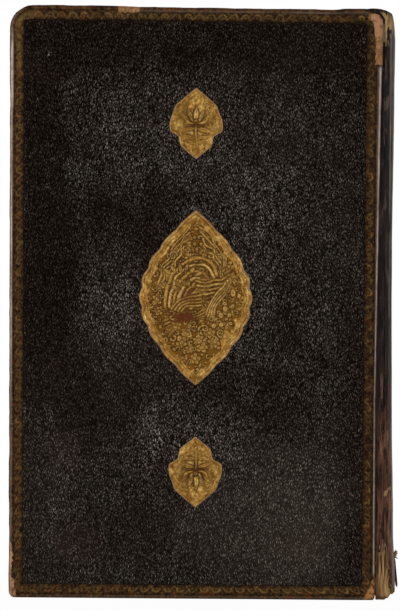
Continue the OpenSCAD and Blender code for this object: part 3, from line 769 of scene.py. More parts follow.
class Stamp:
    """A stamped field: at each point the height of its figures and the darkness of its creases.

    Later figures lie over earlier ones, and each has a crease along its edge.
    """

    crease = 0.52

    def __init__(self, x, z):
        self.x, self.z = x, z
        self.height = np.zeros_like(x)
        self.line = np.zeros_like(x)

    def near(self, low, high):
        """Numbers of the points inside a box, or close to it."""
        x, z, reach = self.x, self.z, self.crease
        inside = (x > low[0] - reach) & (x < high[0] + reach) & (z > low[1] - reach) & (z < high[1] + reach)
        return np.nonzero(inside)[0]

    def lay(self, spots, outside, rise):
        """Lays a figure over the field: outside is each point's distance past its edge."""
        line = hill(outside / self.crease)
        inside = outside < 0
        self.height[spots] = np.where(inside, rise, self.height[spots])
        self.line[spots] = np.where(inside, line, np.maximum(self.line[spots], line))

    def ridge(self, path, width, rise=1.0):
        """A rounded ridge along a path, drawn in towards its end."""
        reach = width / 2
        spots = self.near(path.min(0) - reach, path.max(0) + reach)
        if len(spots):
            away = path_distance(self.x[spots], self.z[spots], path)
            self.lay(spots, away - reach, rise * np.sqrt(unit(1 - 0.75 * (away / reach) ** 2)))

    def blade(self, start, angle, span_along, span_across, rise=0.9, bend=0.0):
        """A pointed leaf from its stalk end, with a vein; bend moves its middle sideways."""
        turn = math.radians(angle)
        way = np.array([math.cos(turn), math.sin(turn)])
        ends = np.array([start, start + way * span_along])
        spots = self.near(ends.min(0) - span_across, ends.max(0) + span_across)
        if not len(spots):
            return
        dx, dz = self.x[spots] - start[0], self.z[spots] - start[1]
        share = (dx * way[0] + dz * way[1]) / span_along
        side = dz * way[0] - dx * way[1] - bend * np.sin(np.pi * unit(share))
        half = span_across / 2 * np.sin(np.pi * unit(share) ** 0.75)
        outside = np.abs(side) - half + span_along * np.maximum(np.maximum(-share, share - 1), 0)
        swell = np.sqrt(unit(1 - (side / np.maximum(half, 0.05)) ** 2))
        vein = hill(side / 0.2) * (share > 0.12) * (share < 0.8) * (span_across > 1.1)
        self.lay(spots, outside, rise * (0.45 + 0.55 * swell) * (1 - 0.5 * vein))
        self.line[spots] = np.maximum(self.line[spots], 0.6 * vein * (outside < 0))

    def disc(self, centre, radius, rise=1.0, eye=0.0):
        """A round boss, with a dark eye of that radius in it."""
        centre = np.array(centre)
        spots = self.near(centre - radius, centre + radius)
        if len(spots):
            away = np.hypot(self.x[spots] - centre[0], self.z[spots] - centre[1])
            self.lay(spots, away - radius, rise * np.sqrt(unit(1 - 0.6 * (away / radius) ** 2)))
            if eye:
                self.line[spots] = np.maximum(self.line[spots], hill(away / (1.6 * eye)))

    def blossom(self, centre, radius, petals=5, turn=0.0):
        """Round petals about a ring with a dark eye."""
        for k in range(petals):
            angle = 2 * np.pi * (k + turn) / petals
            eye = (centre[0] + 0.62 * radius * math.cos(angle), centre[1] + 0.62 * radius * math.sin(angle))
            self.disc(eye, 0.40 * radius, 0.85, 0.11 * radius)
        self.disc(centre, 0.38 * radius, 1.0, 0.2 * radius)

    def fill(self, inside, pitch, seed):
        """Fills what is left plain with small curls, discs and leaves on a shaken lattice."""
        random = np.random.default_rng(seed)
        reach_x, reach_z = np.abs(self.x).max(), np.abs(self.z).max()
        for cx in np.arange(-reach_x, reach_x, pitch):
            for cz in np.arange(-reach_z, reach_z, pitch * 0.9):
                centre = np.array([cx, cz]) + random.uniform(-0.3, 0.3, 2) * pitch
                angle, hand, kind = random.uniform(), random.choice([-1, 1]), random.uniform()
                around = np.hypot(self.x - centre[0], self.z - centre[1]) < pitch * 0.36
                if not around.any() or not inside[around].all() or (self.height[around] > 0.1).mean() > 0.5:
                    continue
                if kind < 0.2:
                    self.disc(centre, pitch * 0.36, 0.95, pitch * 0.17)
                elif kind < 0.65:
                    self.ridge(curl(centre, pitch * 0.42, 0.7 * hand, angle), 0.72, 0.95)
                else:
                    self.blade(centre, 360 * angle, pitch * 0.85, pitch * 0.5, 0.85)


def onlay(place, node, spacing=0.2):
    """A stamped gilt onlay: a height map on rows across its outline, with a skirt and a flat underside."""
    low, high = span(node)
    middle, rise = (low + high) / 2, (high[2] - low[2]) / 2
    v = onlay_heights(place, int(2 * rise / spacing))
    half = np.maximum(onlay_half(place, v, low, high), 0.05)
    a = np.linspace(-1, 1, int((high[0] - low[0]) / spacing))
    a = 0.5 * a + 0.5 * np.sin(np.pi / 2 * a)
    x = a[:, None] * half
    z = np.repeat(rise * v[None, :], len(a), 0)
    outline = onlay_loop(place, low, high, 150) - middle[[0, 2]]
    outline = np.concatenate([outline, outline[:1]])
    shape = x.shape
    x, z = x.ravel(), z.ravel()
    parts = zip(np.array_split(x, 40), np.array_split(z, 40))
    inset = np.concatenate([path_distance(part_x, part_z, outline) for part_x, part_z in parts])
    upright = z if place >= 0 else -z
    shake = 0.8 if place == 0 else 0.45
    drawn_x = x + shake * noise(x, z, 4.2, 61 + place)
    drawn_z = upright + shake * noise(z, x, 3.8, 64 + place)
    art, masks = (almond_figures if place == 0 else pendant_figures)(drawn_x, drawn_z, inset)
    rim = size("rim") * (1 if place == 0 else 0.6)
    wave = 0.1 * noise(x, z, 3, 47)
    band = ease((rim - inset + wave) / 0.3)
    lines = [(rim, 0.6), (rim + 0.9, 0.6)]
    if place == 0:
        lines = [(rim, 0.6), (rim + 1.2, 0.75), (rim + 2.1, 0.4)]
    art.line = art.line * ease((inset - lines[-1][0]) / 0.3)
    for k, (where, dark) in enumerate(lines):
        broken = ease(0.85 - 0.25 * k + 1.1 * rough(x, z, 2.6, 51 + place + 5 * k))
        moved = inset - where - wave - 0.45 * k * noise(x, z, 3.4, 57 + k)
        art.line = np.maximum(art.line, dark * broken * hill(moved / 0.42))
    bulge = 0.5 + 0.15 * np.abs(np.sin(np.pi * inset / 1.15)) + 0.7 * rough(x, z, 2.4, 54 + place)
    height = np.where(inset > lines[-1][0], art.height, np.clip(bulge, 0, 0.95))
    if place == 0:
        # Painted glints on the almond's rim: they raise the relief mask over 1, which the gilt's colour
        # paints near white.
        for spot in ((20.4, 11.5), (16.3, -19.6), (19.9, 3.0), (-19.8, -9.0)):
            away = np.hypot((x - spot[0]) / 2.4, (z - spot[1]) / 3.6)
            glint = hill((inset - 1.15) / 0.7) * ease(1.6 - away)
            height = np.maximum(height, 1.15 * glint)
    lift = 0.42 + 0.58 * height - 0.42 * art.line
    lift = lift + band * (0.85 - lift)
    relief = 0.42
    top = -low[1]
    level = top - relief + relief * lift - 0.3 * (1 - ease(inset / 0.6)) + 0.05 * noise(x, z, 9, 40 + place)
    level = level + 0.03 * noise(x, z, 1.3, 44 + place)
    rubbed = ease(0.5 + 1.2 * rough(x, z, 7, 48 + place))
    masks |= {"relief": np.clip(height, 0, 1.2), "line": unit(art.line) * (0.75 + 0.25 * rubbed)}
    masks |= {"rim": band * (0.45 + 0.55 * rubbed), "edge": 1 - ease(inset / 0.8 + 0.3 * wave)}
    top_points = np.stack([x + middle[0], -level, z + middle[2]], -1)
    index = numbered(*shape)
    loop = rim_loop(index)
    base = top_points[loop] * [1, 0, 1] + [0, -(Y_FACE - 0.48), 0]
    lower = x.size + np.arange(len(loop))
    points = np.concatenate([top_points, base])
    masks = {key: np.concatenate([value, np.zeros(len(loop))]) for key, value in masks.items()}
    quads = np.concatenate([grid_faces(index), skirt_faces(loop, lower)])
    piece = make_piece(node + "_gilt", points, quads, gilt_material(), caps=[lower], masks=masks, crease=70)
    stand_for(piece, "front_cover", "gilt_leather", node)


def almond_figures(x, z, inset):
    """The almond's stamped field: a long-tailed bird among blossoms. Nested feather lines sweep over
    it in a wide arch, its wing runs out to the right, and foliage fills the rest."""
    art = Stamp(x, z)
    for centre in (
        (-3.8, -15.4), (0.8, -17.4), (5.2, -15.0), (-8.6, -12.4), (-2.2, -21.4), (3.0, -21.2),
        (0.2, -25.8), (-6.2, -18.4), (7.8, -18.6), (-14.6, 4.6), (-15.6, -0.6), (-12.4, 9.6),
        (-15.2, -5.8), (13.4, 13.0), (9.6, 16.6), (-8.6, 18.2), (4.4, 22.4), (-2.6, 24.2), (-5.4, 29.0),
    ):
        art.blossom(centre, 2.4, 5, 0.37 * centre[0])
    inside = inset > size("rim") + 1.2
    smooth = np.hypot((x - 12.6) / 2.6, (z + 17.2) / 3.4) < 1
    smooth = smooth | (np.hypot((x - 17.4) / 1.4, (z + 11.0) / 2.4) < 1)
    art.fill(inside & (z < 33) & ~smooth, 2.4, 8)
    for hand in (-1, 1):
        for k in range(4):
            foot, tip = (hand * (15.8 - 1.5 * k), 5.0 + k), (hand * (1.6 + 0.5 * k), 29.6 - 2.6 * k)
            tendril = bow(foot, (hand * (11.6 - 1.1 * k), 21.0 - 1.2 * k), tip, 16)
            tendril[:, 0] += 0.5 * np.sin(np.arange(16) * 1.2 + k)
            art.ridge(tendril, 0.95, 0.9)
    for k in range(4):
        art.ridge(curl((-9.6 + 6.4 * k, 20.0 - 1.2 * (k - 1.5) ** 2), 1.7, 1.1 - 0.2 * k, 0.3 * k), 0.75)
        art.ridge(curl((-10.4 + 6.9 * k, -13.4 - 1.5 * (k % 2)), 1.8, -1.0, 0.25 * k), 0.75)
    hub = np.array([-1.6, -2.6])
    top = (-1.0, 16.6)
    left, right = bow((-12.1, -4.0), (-12.6, 12.6), top, 14), bow(top, (6.4, 17.6), (8.6, 9.2), 12)
    sweep = np.concatenate([left, right[1:]])
    for k in range(7):
        nested = hub + [0.35 * k, -0.3 * k] + (sweep - hub) * (1 - 0.125 * k)
        art.ridge(nested, 1.25 if k % 3 else 1.6, 1.0 if k % 2 else 0.75)
    for k in range(9):
        art.blade((-10.2 + 2.0 * k, 9.4 + 3.2 * math.sin(0.42 * k) - 0.6 * k), 150 - 24 * k, 4.6, 1.7, 0.95)
        art.blade((-7.6 + 1.5 * k, 3.4 + 3.0 * math.sin(0.42 * k) - 0.5 * k), 158 - 26 * k, 4.0, 1.5, 0.9)
    for k in range(5):
        start, end = (0.4 + 0.7 * k, 7.4 - 1.9 * k), (15.6 - 0.5 * k, 10.6 - 2.0 * k)
        art.ridge(bow(start, (8.0 - 0.4 * k, 5.0 - 1.5 * k), end, 14), 1.2, 0.95 if k % 2 else 0.7)
    for k in range(4):
        start, end = (16.2 - 1.2 * k, 9.4 - 0.9 * k), (6.6 - 1.1 * k, -8.2 + 0.4 * k)
        art.ridge(bow(start, (11.2 - 1.1 * k, 1.4 - 0.5 * k), end, 14), 1.05, 0.95)
    for k in range(4):
        start, end = (-9.6 + 1.2 * k, -5.0 - 0.5 * k), (2.2, 1.4 - 1.6 * k)
        art.ridge(bow(start, (-5.6 + 0.6 * k, 2.0 - 1.6 * k), end, 12), 1.05, 0.9)
    for k in range(5):
        art.blade((4.2 - 0.3 * k, -4.4 - 1.0 * k), -152 + 9 * k, 5.4 - 0.5 * k, 1.3, 0.9)
    for centre in (
        (11.8, -2.9), (15.5, -3.1), (10.1, -7.2), (13.9, -7.4), (10.4, -11.2), (14.9, 1.9), (17.6, 0.6),
        (7.2, -11.8), (12.2, -5.0),
    ):
        art.disc(centre, 1.15, 1.0, 0.5)
    for k in range(5):
        art.blade((9.4 + 1.3 * k, 11.6 - 0.7 * k), 62 - 16 * k, 3.6, 1.25, 0.9)
        art.blade((-10.6 + 0.4 * k, -9.4 - 0.9 * k), 196 + 12 * k, 4.4, 1.15, 0.9)
        art.blade((-1.6 + 1.1 * k, 18.6 - 0.2 * k), 118 - 22 * k, 3.8, 1.2, 0.9)
    art.ridge(curl((6.2, -8.8), 1.5, 0.8, 0.1), 0.7)
    plain = 0.45 * ease((z - 29.5 + 1.4 * noise(x, z, 4, 20)) / 2.5)
    art.height = np.where(inside, art.height, 0) * (1 - plain)
    art.height[smooth] = np.maximum(art.height[smooth], 0.6)
    art.line = art.line * inside * (1 - plain)
    hollow = ease(1.35 - np.hypot((x - 1.2) / 2.6, (z - 14.2) / 1.1))
    hollow = hollow + ease(1.35 - np.hypot((x - 4.8) / 2.4, (z + 0.6) / 1.1))
    red = blot(x, z, (-4.4, -8.4), (5.4, 1.8), 0.7, 2, 17)
    purple = 0.45 * blot(x, z, (-3.5, 0.8), (3.4, 2.6), 0.8, 3, 23)
    art.height = art.height * (1 - 0.5 * red)
    art.line = art.line * (1 - 0.6 * red)
    dark = unit(0.7 * hollow + 0.2 * blot(x, z, (-1, 3), (11, 10), 0.9, 5, 19))
    return art, {"red": unit(red + purple), "dark": dark, "plain": plain}


def pendant_figures(x, z, inset):
    """A pendant's stamped lotus: petals over a stem, with leaves that curl away at both sides."""
    x, z = x / 1.15, z / 1.12
    side = np.abs(x + 0.25 * noise(z, x, 5, 26))
    art = Stamp(side, z)
    inside = inset > size("rim") * 0.6 + 0.2
    art.fill(inside & (side > 2.6), 1.9, 29)
    art.blade((0.4, -7.4), 24, 4.4, 1.5, 0.8, -0.3)
    art.blade((0.4, -5.0), 8, 5.6, 1.8, 0.9, -0.6)
    art.ridge(curl((6.0, -2.6), 1.25, 0.8, 0.6), 0.75)
    art.blade((0.3, -1.9), -18, 6.2, 1.9, 0.9, 0.5)
    art.ridge(bow((0, -9.2), (0.2, -5), (0, -1.2), 8), 0.9)
    art.blade((0.2, -0.6), 14, 7.0, 2.3, 0.9, 0.9)
    art.blade((0.2, -0.4), 40, 6.6, 2.3, 0.95, -0.7)
    art.blade((0.1, -0.2), 64, 6.4, 2.1, 1.0, -0.4)
    art.blade((0, 0), 90, 7.2, 2.2, 1.0)
    art.disc((0, 0.6), 0.8, 1.0, 0.25)
    art.ridge(curl((5.0, 5.2), 1.5, -0.85, 0.5), 0.8, 0.9)
    art.disc((0, 9.0), 0.7, 0.9)
    worn = ease(0.45 + 1.1 * rough(x, z, 4, 28))
    soft = np.clip(0.64 + 0.7 * rough(x, z, 2.0, 30) + 0.4 * noise(x, z, 0.8, 36), 0, 0.95)
    art.height = np.maximum(soft, np.where(inside, art.height, 0) * (0.7 + 0.3 * worn))
    kept = 0.5 + 0.5 * ease(1.35 - np.hypot(side / 5.5, (z - 0.3) / 6.5))
    art.line = unit(1.9 * art.line) * inside * kept
    hollow = ease(1.3 - np.hypot((side - 2.6) / 1.3, (z - 2.0) / 1.5))
    hollow = hollow + ease(1.3 - np.hypot(side / 2.4, (z + 1.1) / 0.7))
    hollow = hollow + 0.6 * ease(1.2 - np.hypot((side - 3.0) / 1.6, (z + 4.2) / 0.8))
    red = 0.25 * blot(x, z, (0, -1.0), (2.4, 1.6), 0.8, 2, 33)
    return art, {"red": red, "dark": 0.8 * unit(hollow), "plain": 0.25 * (1 - worn)}


def back_point(u, depth):
    """The book's back at angle u from the front joint, -90, to the back joint, 90, at a depth."""
    reach = (size("spine_bulge") - depth) * np.cos(u) * np.sqrt(1 + np.sin(u) ** 2)
    return X_SPINE + reach, (Y_SPINE - depth) * np.sin(u)


def spine_foot(x, u):
    """Height at which the spine leather starts: torn up at the front, chipped at the rest."""
    share = (x - X_SPINE) / size("spine_bulge")
    shares = [0, 0.12, 0.24, 0.3, 0.36, 0.62, 0.72, 0.8, 0.9, 1]
    tear = np.interp(share, shares, [0.9, 1, 0.95, 0.9, 0.62, 0.58, 0.42, 0.27, 0.22, 0.16])
    torn = size("tear_height") * tear * ease((-math.radians(12) - u) / 0.12)
    chip = 0.9 + 0.7 * noise(u * 20, u, 2.2, 91) + 1.1 * ease((share - 0.75) / 0.25)
    return np.maximum(torn + 0.5 * noise(x * 9, u, 1.1, 92) * (torn > 1), chip)


def flare(z):
    """How far the spine stands out past its nominal back at height z."""
    heights = [0, 8, 16, 26, 40, 70, 110, 150, 205, 222, 233, 237, 240, 242, 245]
    out = [1.6, 1.6, 1.4, 0.8, 0.75, 0.1, -0.1, -0.1, 0.85, 1.1, 1.15, 0.9, 0.6, 0.2, -0.2]
    return np.interp(z, heights, out)


def spine_leather():
    """The spine leather: a section up the spine, rolled over at the head, carried round the back.

    At the head it reaches forward over both covers' rounded corners as far as their arcs allow.
    """
    leather = 0.85
    near, far = np.linspace(-np.pi / 2, -0.6, 40), np.linspace(0.6, np.pi / 2, 28)
    u = np.concatenate([near, np.linspace(-0.6, 0.6, 26)[1:-1], far])
    apron = 5
    low, middle, high = np.linspace(0, 0.12, 30), np.linspace(0.12, 0.9, 150), np.linspace(0.9, 1, 30)
    rise = np.concatenate([low[:-1], middle[:-1], high])
    roll = np.radians(np.linspace(0, 90, 7))[1:]
    cap = 1.5
    depths = [np.concatenate([0 * rise, cap * (1 - np.cos(roll)), [2.3, 3.0]])]
    drops = [np.concatenate([0 * rise, cap * (1 - np.sin(roll)), [0.02, 0.2]])]
    inner = cap - leather
    depths += [np.concatenate([leather + 0 * rise, leather + inner * (1 - np.cos(roll)), [2.3, 3.0]])]
    under = leather * np.concatenate([0 * rise, np.sin(roll), [1, 0.95]])
    drops += [np.concatenate([0 * rise, inner * (1 - np.sin(roll)), [0, 0]]) + under]
    grids = []
    for depth, drop in zip(depths, drops):
        uu, dd = np.meshgrid(u, depth, indexing="ij")
        x, y = back_point(uu, dd)
        surface_x = back_point(uu, 0 * dd)[0]
        share_out = unit(0.985 * (surface_x - X_SPINE) / size("spine_bulge"))
        round_top = size("cap_round") * np.interp(share_out, [0, 0.42, 0.8, 0.985], [0, 0.15, 0.32, 0.62])
        top = BOARD_H - round_top - 0.1 * (1 - np.cos(uu)) - cap
        foot = spine_foot(surface_x, uu)
        share = np.concatenate([rise, np.ones(len(depth) - len(rise))])
        rolled = np.where(share >= 1, cap - drop, 0) * (np.arange(len(depth)) >= len(rise) - 1)
        z = foot + (top - foot) * share + rolled
        out = flare(z) * np.cos(uu) + 0.14 * rough(uu * 14, z, 24, 93)
        out = out + 0.05 * noise(uu * 40, z, 9, 94) * ease((95 - z) / 30)
        out = out + 0.12 * hill((uu + 0.93) / 0.10)
        lip = ease((z - foot) / 1.2)
        out = out * (0.3 + 0.7 * lip) * np.where(dd > leather + 0.1, 0.4, 1)
        x = x + out * np.cos(uu)
        y = y + out * np.sin(uu) * 0.5
        corner, arc = size("joint_corner"), size("joint_corner") + 0.1
        reach = np.clip(z + size("lobe") - BOARD_H + corner, 0, None)
        left = X_JOINT - size("joint_inset") - corner + np.sqrt(np.clip(arc ** 2 - reach ** 2, 0, None))
        left = left - 4.2 * ease((reach - arc) / 0.6)
        left = np.where(reach > 0, left, X_SPINE - 0.1)
        ends = []
        for row, hand in ((0, -1), (-1, 1)):
            share_out = (np.arange(apron, 0, -1) / apron)[:, None]
            ax = x[row] + (np.minimum(left[row], x[row] - 0.05) - x[row]) * share_out
            ay = y[row] - hand * 0.15 * share_out
            rise_out = 0.8 * share_out ** 0.4 * (1 - ease((share_out - 0.45) / 0.55)) + 0.35 * share_out
            az = z[row] + rise_out * ease((z[row] - 242) / 2.5)
            ends.append(np.stack([ax, ay, az], -1)[::-hand])
        grids.append(np.concatenate([ends[0], np.stack([x, y, z], -1), ends[1]]))
    points, quads = slab(*grids)
    masks = spine_masks(points)
    piece = make_piece("spine_leather_worn", points, quads, spine_material(), masks=masks, crease=60)
    stand_for(piece, "block", "spine_leather", "spine_leather")


def spine_masks(points):
    """The spine's wear and painted light: rubbed tan at the head, a ridge that is partly rubbed and partly
    a painted sheen, cracks, a hole and painted shade in the split beside the front cover's corner, and its
    fading to the tail.
    """
    x, y, z = points.T
    front = ease((-y - 1.5) / 3)
    share = (x - X_SPINE) / size("spine_bulge")
    limit = 230.5 + 5 * share + 3 * noise(x * 6, z, 3, 95)
    bare = front * ease((z - limit) / 1.5) * ease(0.9 + noise(x * 5, z, 4, 96))
    out = (flare(z) - 0.1) / size("spine_bulge")
    # The ridge: a pale streak along the spine that is partly rubbed leather and partly a painted sheen,
    # broader and greyer towards the head.
    middle = 0.55 + 0.6 * out + 0.035 * noise(z, z, 21, 97)
    width = 0.13 + 0.1 * ease((z - 190) / 20)
    ridge = hill((share - middle) / width) * ease(0.55 + rough(z, x, 17, 98)) * front
    ridge = ridge * (0.35 + 0.65 * ease((z - 95) / 25)) * (1 - 0.45 * ease((z - 190) / 20))
    dark_marks = hill((share - 0.2 - 0.05 * noise(z, z, 8, 99)) / 0.09) * ease((88 - z) / 4) * ease((z - 24) / 3)
    short = front * hill((share - 0.42) / 0.16) * ease((41 - z) / 1.5) * ease((z - 33) / 3)
    dark_marks = np.maximum(dark_marks, short)
    scuff = hill((z - 44.2 - (x - X_SPINE) * 1.1 + noise(x * 3, z, 2, 90)) / 1.5) * front
    pale_line = 0.9 * front * hill((share - 0.5 + 0.05 * noise(z, z, 5, 89)) / 0.07)
    pale_line = pale_line * ease((32 - z) / 1.5) * ease((z - 22.5) / 2)
    # Dark marks: a hole, painted shade in the open split beside the front cover's rounded corner, and a
    # dark band under the top of the cap.
    hole_and_split_shade = front * ease(1.4 - np.hypot((x - 77.0) / 0.5, (z - 236) / 0.8))
    corner = size("joint_corner")
    centre = (X_JOINT - size("joint_inset") - corner, BOARD_H - size("lobe") - corner)
    lap = np.hypot(np.maximum(x - centre[0], 0), np.maximum(z - centre[1], 0)) - corner
    split_shade = ease((1.1 + 0.3 * noise(x, z, 1.7, 88) - lap) / 0.35)
    hole_and_split_shade = np.maximum(hole_and_split_shade, front * split_shade * ease((z - 222) / 2))
    brow = np.interp(x, [70, 73, 75, 76.2, 77.5], [244.55, 244.4, 243.9, 243.3, 242.5])
    hole_and_split_shade = np.maximum(hole_and_split_shade, 0.85 * front * ease((z - brow) / 0.25))
    faded = ease((110 - z) / 70)
    bare = np.maximum(np.maximum(bare, 1.1 * scuff), pale_line)
    foot = spine_foot(x, np.arctan2(y, 13.0))
    torn = ease((1.6 - (z - foot)) / 1.4) * front
    return {
        "bare": unit(np.maximum(bare, 0.8 * torn) * (1 - hole_and_split_shade)), "ridge": unit(ridge),
        "dark_marks": unit(np.maximum(dark_marks, hole_and_split_shade)), "faded": faded,
    }


def lining_wave(x, z):
    """The folds of the torn lining, from -1 to 1."""
    return np.sin(2 * np.pi * (x - 0.02 * z) / 1.55 + 2.2 * noise(x, z, 6, 102))


def spine_lining():
    """The paper lining: it runs round the back and forward to both covers' edges, and shows where the
    leather is torn."""
    arc = np.linspace(-np.pi / 2, np.pi / 2, 90)
    z_share = np.concatenate([np.linspace(0, 0.13, 60)[:-1], np.linspace(0.13, 1, 24)])
    grids = []
    for depth in (0.95, 1.2):
        x, y = back_point(arc, depth)
        x, y = np.repeat(x[:, None], len(z_share), 1), np.repeat(y[:, None], len(z_share), 1)
        foot = 0.1 + 0.15 * noise(arc * 12, arc, 1.3, 101) + 0.9 * ease((x[:, 0] - X_SPINE) / 1.2)
        foot = foot + 1.3 * ease((x[:, 0] - X_SPINE - 1.4) / 1.6)
        z = foot[:, None] + (LINING_TOP - foot[:, None]) * z_share
        shown = ease((26 - z) / 4) * ease(-y / 4)
        folds = 0.34 * lining_wave(x, z) + 0.25 * rough(x * 3, z, 5, 103)
        out = shown * (0.35 + folds)
        x = x + out * np.cos(arc)[:, None]
        y = y + out * np.sin(arc)[:, None]
        ends = []
        for row, hand in ((0, -1), (-1, 1)):
            left = X_JOINT - joint_lean(z[row]) + 0.35
            share = (np.arange(12, 0, -1) / 12)[:, None]
            ax = x[row] + (np.minimum(left, x[row] - 0.1) - x[row]) * share
            az = np.broadcast_to(z[row], ax.shape)
            fold = 0.3 * np.sin(2 * np.pi * ax / 1.3 + 1.7 * noise(ax, az, 7, 104)) * ease((26 - az) / 4)
            ay = y[row] - hand * (0.25 * share + 0.35 * np.sin(np.pi * share) - fold * (hand < 0))
            ends.append(np.stack([ax, ay, az], -1)[::-hand])
        grids.append(np.concatenate([ends[0], np.stack([x, y, z], -1), ends[1]]))
    points, quads = slab(*grids)
    x, y, z = points.T
    folds = ease(0.3 + 0.9 * lining_wave(x, z))
    folds = folds * ease(0.75 + 0.9 * rough(x, z, 7, 106)) * 0.95 + 0.4 * ease((z - 11) / 8)
    stain = np.maximum(folds, 0.85 * ease((2.7 - z + 1.3 * rough(x, z, 2, 105)) / 1.6))
    stain = np.maximum(stain, 0.75 * ease((73.0 - x) / 1.0))
    stain = np.maximum(stain, ease((z - 60) / 60))
    piece = make_piece("spine_lining_paper", points, quads, lining_material(), masks={"stain": stain})
    stand_for(piece, "block", "lining_paper", "spine_paper")


def joint_strip(side):
    """The leather of an outer joint: from a cover's edge down into the groove and up to the spine."""
    across = np.concatenate([np.linspace(0, 0.35, 9)[:-1], np.linspace(0.35, 1, 10)])
    high = BOARD_H - size("split_height")
    z = np.linspace(0, 1, 180)
    seed = 111 if side == FRONT else 121
    foot = (20.8 if side == FRONT else 8) + 1.1 * noise(across * 9, across, 1.7, seed + 4)
    zz = foot + (high - foot) * z[:, None]
    left = X_JOINT - joint_lean(zz) - 0.35
    x = left + (X_SPINE + 0.35 - left) * across
    depth = np.interp(across, [0, 0.12, 0.3, 0.5, 0.75, 1], [13.3, 12.9, 12.2, 12.15, 12.4, 12.5])
    level = depth + 0.12 * rough(x * 2, zz, 6, seed)
    folds = 0.12 * np.sin(2 * np.pi * x / 0.95 + 2 * noise(x, zz, 11, seed + 1))
    level = level + folds * ease((across - 0.3) / 0.2) * ease((110 - zz) / 50)
    grids = [np.stack([x, side * lev, zz], -1) for lev in (level, level - 0.45)]
    points, quads = slab(*grids)
    # Painted shade in the joint's groove, beside the cover's edge.
    groove = hill((across - 0.36) / 0.3) * (0.7 + 0.3 * noise(zz, x, 9, seed))
    groove = np.tile(groove * (0.4 + 0.6 * ease((zz - 70) / 50)), (2, 1)).ravel()
    # A pale line along the strip's edge by the cover, partly rubbed leather and partly a painted highlight
    # of the sheen on the fold.
    worn = 0.6 * hill((across - 0.02) / 0.12) * ease(0.75 + 0.8 * rough(zz, x, 12, seed + 2))
    worn = np.tile(worn, (2, 1)).ravel()
    near_spine = np.tile(ease((across - 0.1) / 0.4) + 0 * zz, (2, 1)).ravel()
    faded = ease((110 - points[:, 2]) / 60) * near_spine
    masks = {"bare": 0 * groove, "ridge": worn, "dark_marks": groove, "faded": faded}
    name = NAMES[side]
    flipped = quads if side == BACK else quads[:, ::-1]
    piece = make_piece(name + "_joint_leather", points, flipped, spine_material(), masks=masks)
    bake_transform(piece)


def inner_strip(side):
    """The paper over an inner joint: pasted on the first leaf and, past the fold, on the board."""
    name = NAMES[side]
    z = np.linspace(STRIP_LOW[2], STRIP_HIGH[2], 60)
    fold = X_JOINT - size("joint_skew") - 1.4
    leaf_x = np.linspace(STRIP_LOW[0], fold - 1, 14)
    turn = np.linspace(-np.pi / 2, np.pi / 2, 14)
    near, far = Y_LEAVES + 0.06, Y_CORE - 0.36
    middle, half = (near + far) / 2, (far - near) / 2
    board_x = np.linspace(fold - 1, STRIP_LOW[0] + 3, 14)
    x = np.concatenate([leaf_x[:-1], fold - 1 + 1.6 * np.cos(turn), board_x[1:]])
    level = np.concatenate([np.full(13, near), middle + half * np.sin(turn), np.full(13, far)])
    ragged = 0.35 * noise(z, z, 3, 131)
    edge = np.linspace(1, 0, len(x)) ** 8
    other = np.linspace(0, 1, len(x)) ** 8
    grids = []
    for lift in (0.0, 0.09):
        xx = x[:, None] + ragged * (edge + other)[:, None]
        yy = np.repeat((level + lift * np.cos(np.linspace(0, np.pi, len(x))))[:, None], len(z), 1)
        grids.append(np.stack([xx, side * yy, np.repeat(z[None, :], len(x), 0)], -1))
    points, quads = slab(*grids)
    masks = paper_masks(points, 133)
    piece = make_piece(name + "_hinge_strip", points, quads[:, ::-side], paper_material(), masks=masks)
    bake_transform(piece)
    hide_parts(name + "_hinge_paper")


def paper_masks(points, seed):
    """Stains of old paper: brown towards its edges, and foxing."""
    x, y, z = points.T
    low, high = points.min(0), points.max(0)
    inset = from_edges(x, z, low[0], high[0], low[2], high[2])
    stain = 0.65 * ease(1 - inset / 9 + 0.5 * rough(x, z, 12, seed)) + 0.3 * ease(rough(x, z, 30, seed + 3))
    return {"stain": unit(stain), "edge": 0 * x}


def pastedown(side):
    """The sheet pasted inside a board: slightly cockled, with a hand-cut edge."""
    name = NAMES[side]
    xs = np.linspace(PASTE_LOW[0], PASTE_HIGH[0], 48)
    zs = np.linspace(PASTE_LOW[2], PASTE_HIGH[2], 72)
    x, z = np.meshgrid(xs, zs, indexing="ij")
    seed = 141 if side == FRONT else 151
    inset = from_edges(x, z, xs[0], xs[-1], zs[0], zs[-1])
    shake = 0.3 * (1 - ease(inset / 3))
    x, z = x + shake * noise(z, x, 7, seed), z + shake * noise(x, z, 7, seed + 1)
    level = Y_CORE - 0.2 - 0.06 * rough(x, z, 14, seed + 2) * ease(inset / 5)
    grids = [np.stack([x, side * lev, z], -1) for lev in (level, np.full_like(x, Y_CORE - 0.02))]
    points, quads = slab(*grids)
    masks = paper_masks(points, seed + 4)
    piece = make_piece(name + "_pasted_paper", points, quads[:, ::side], paper_material(), masks=masks)
    stand_for(piece, name + "_cover", "pastedown", name + "_pastedown")


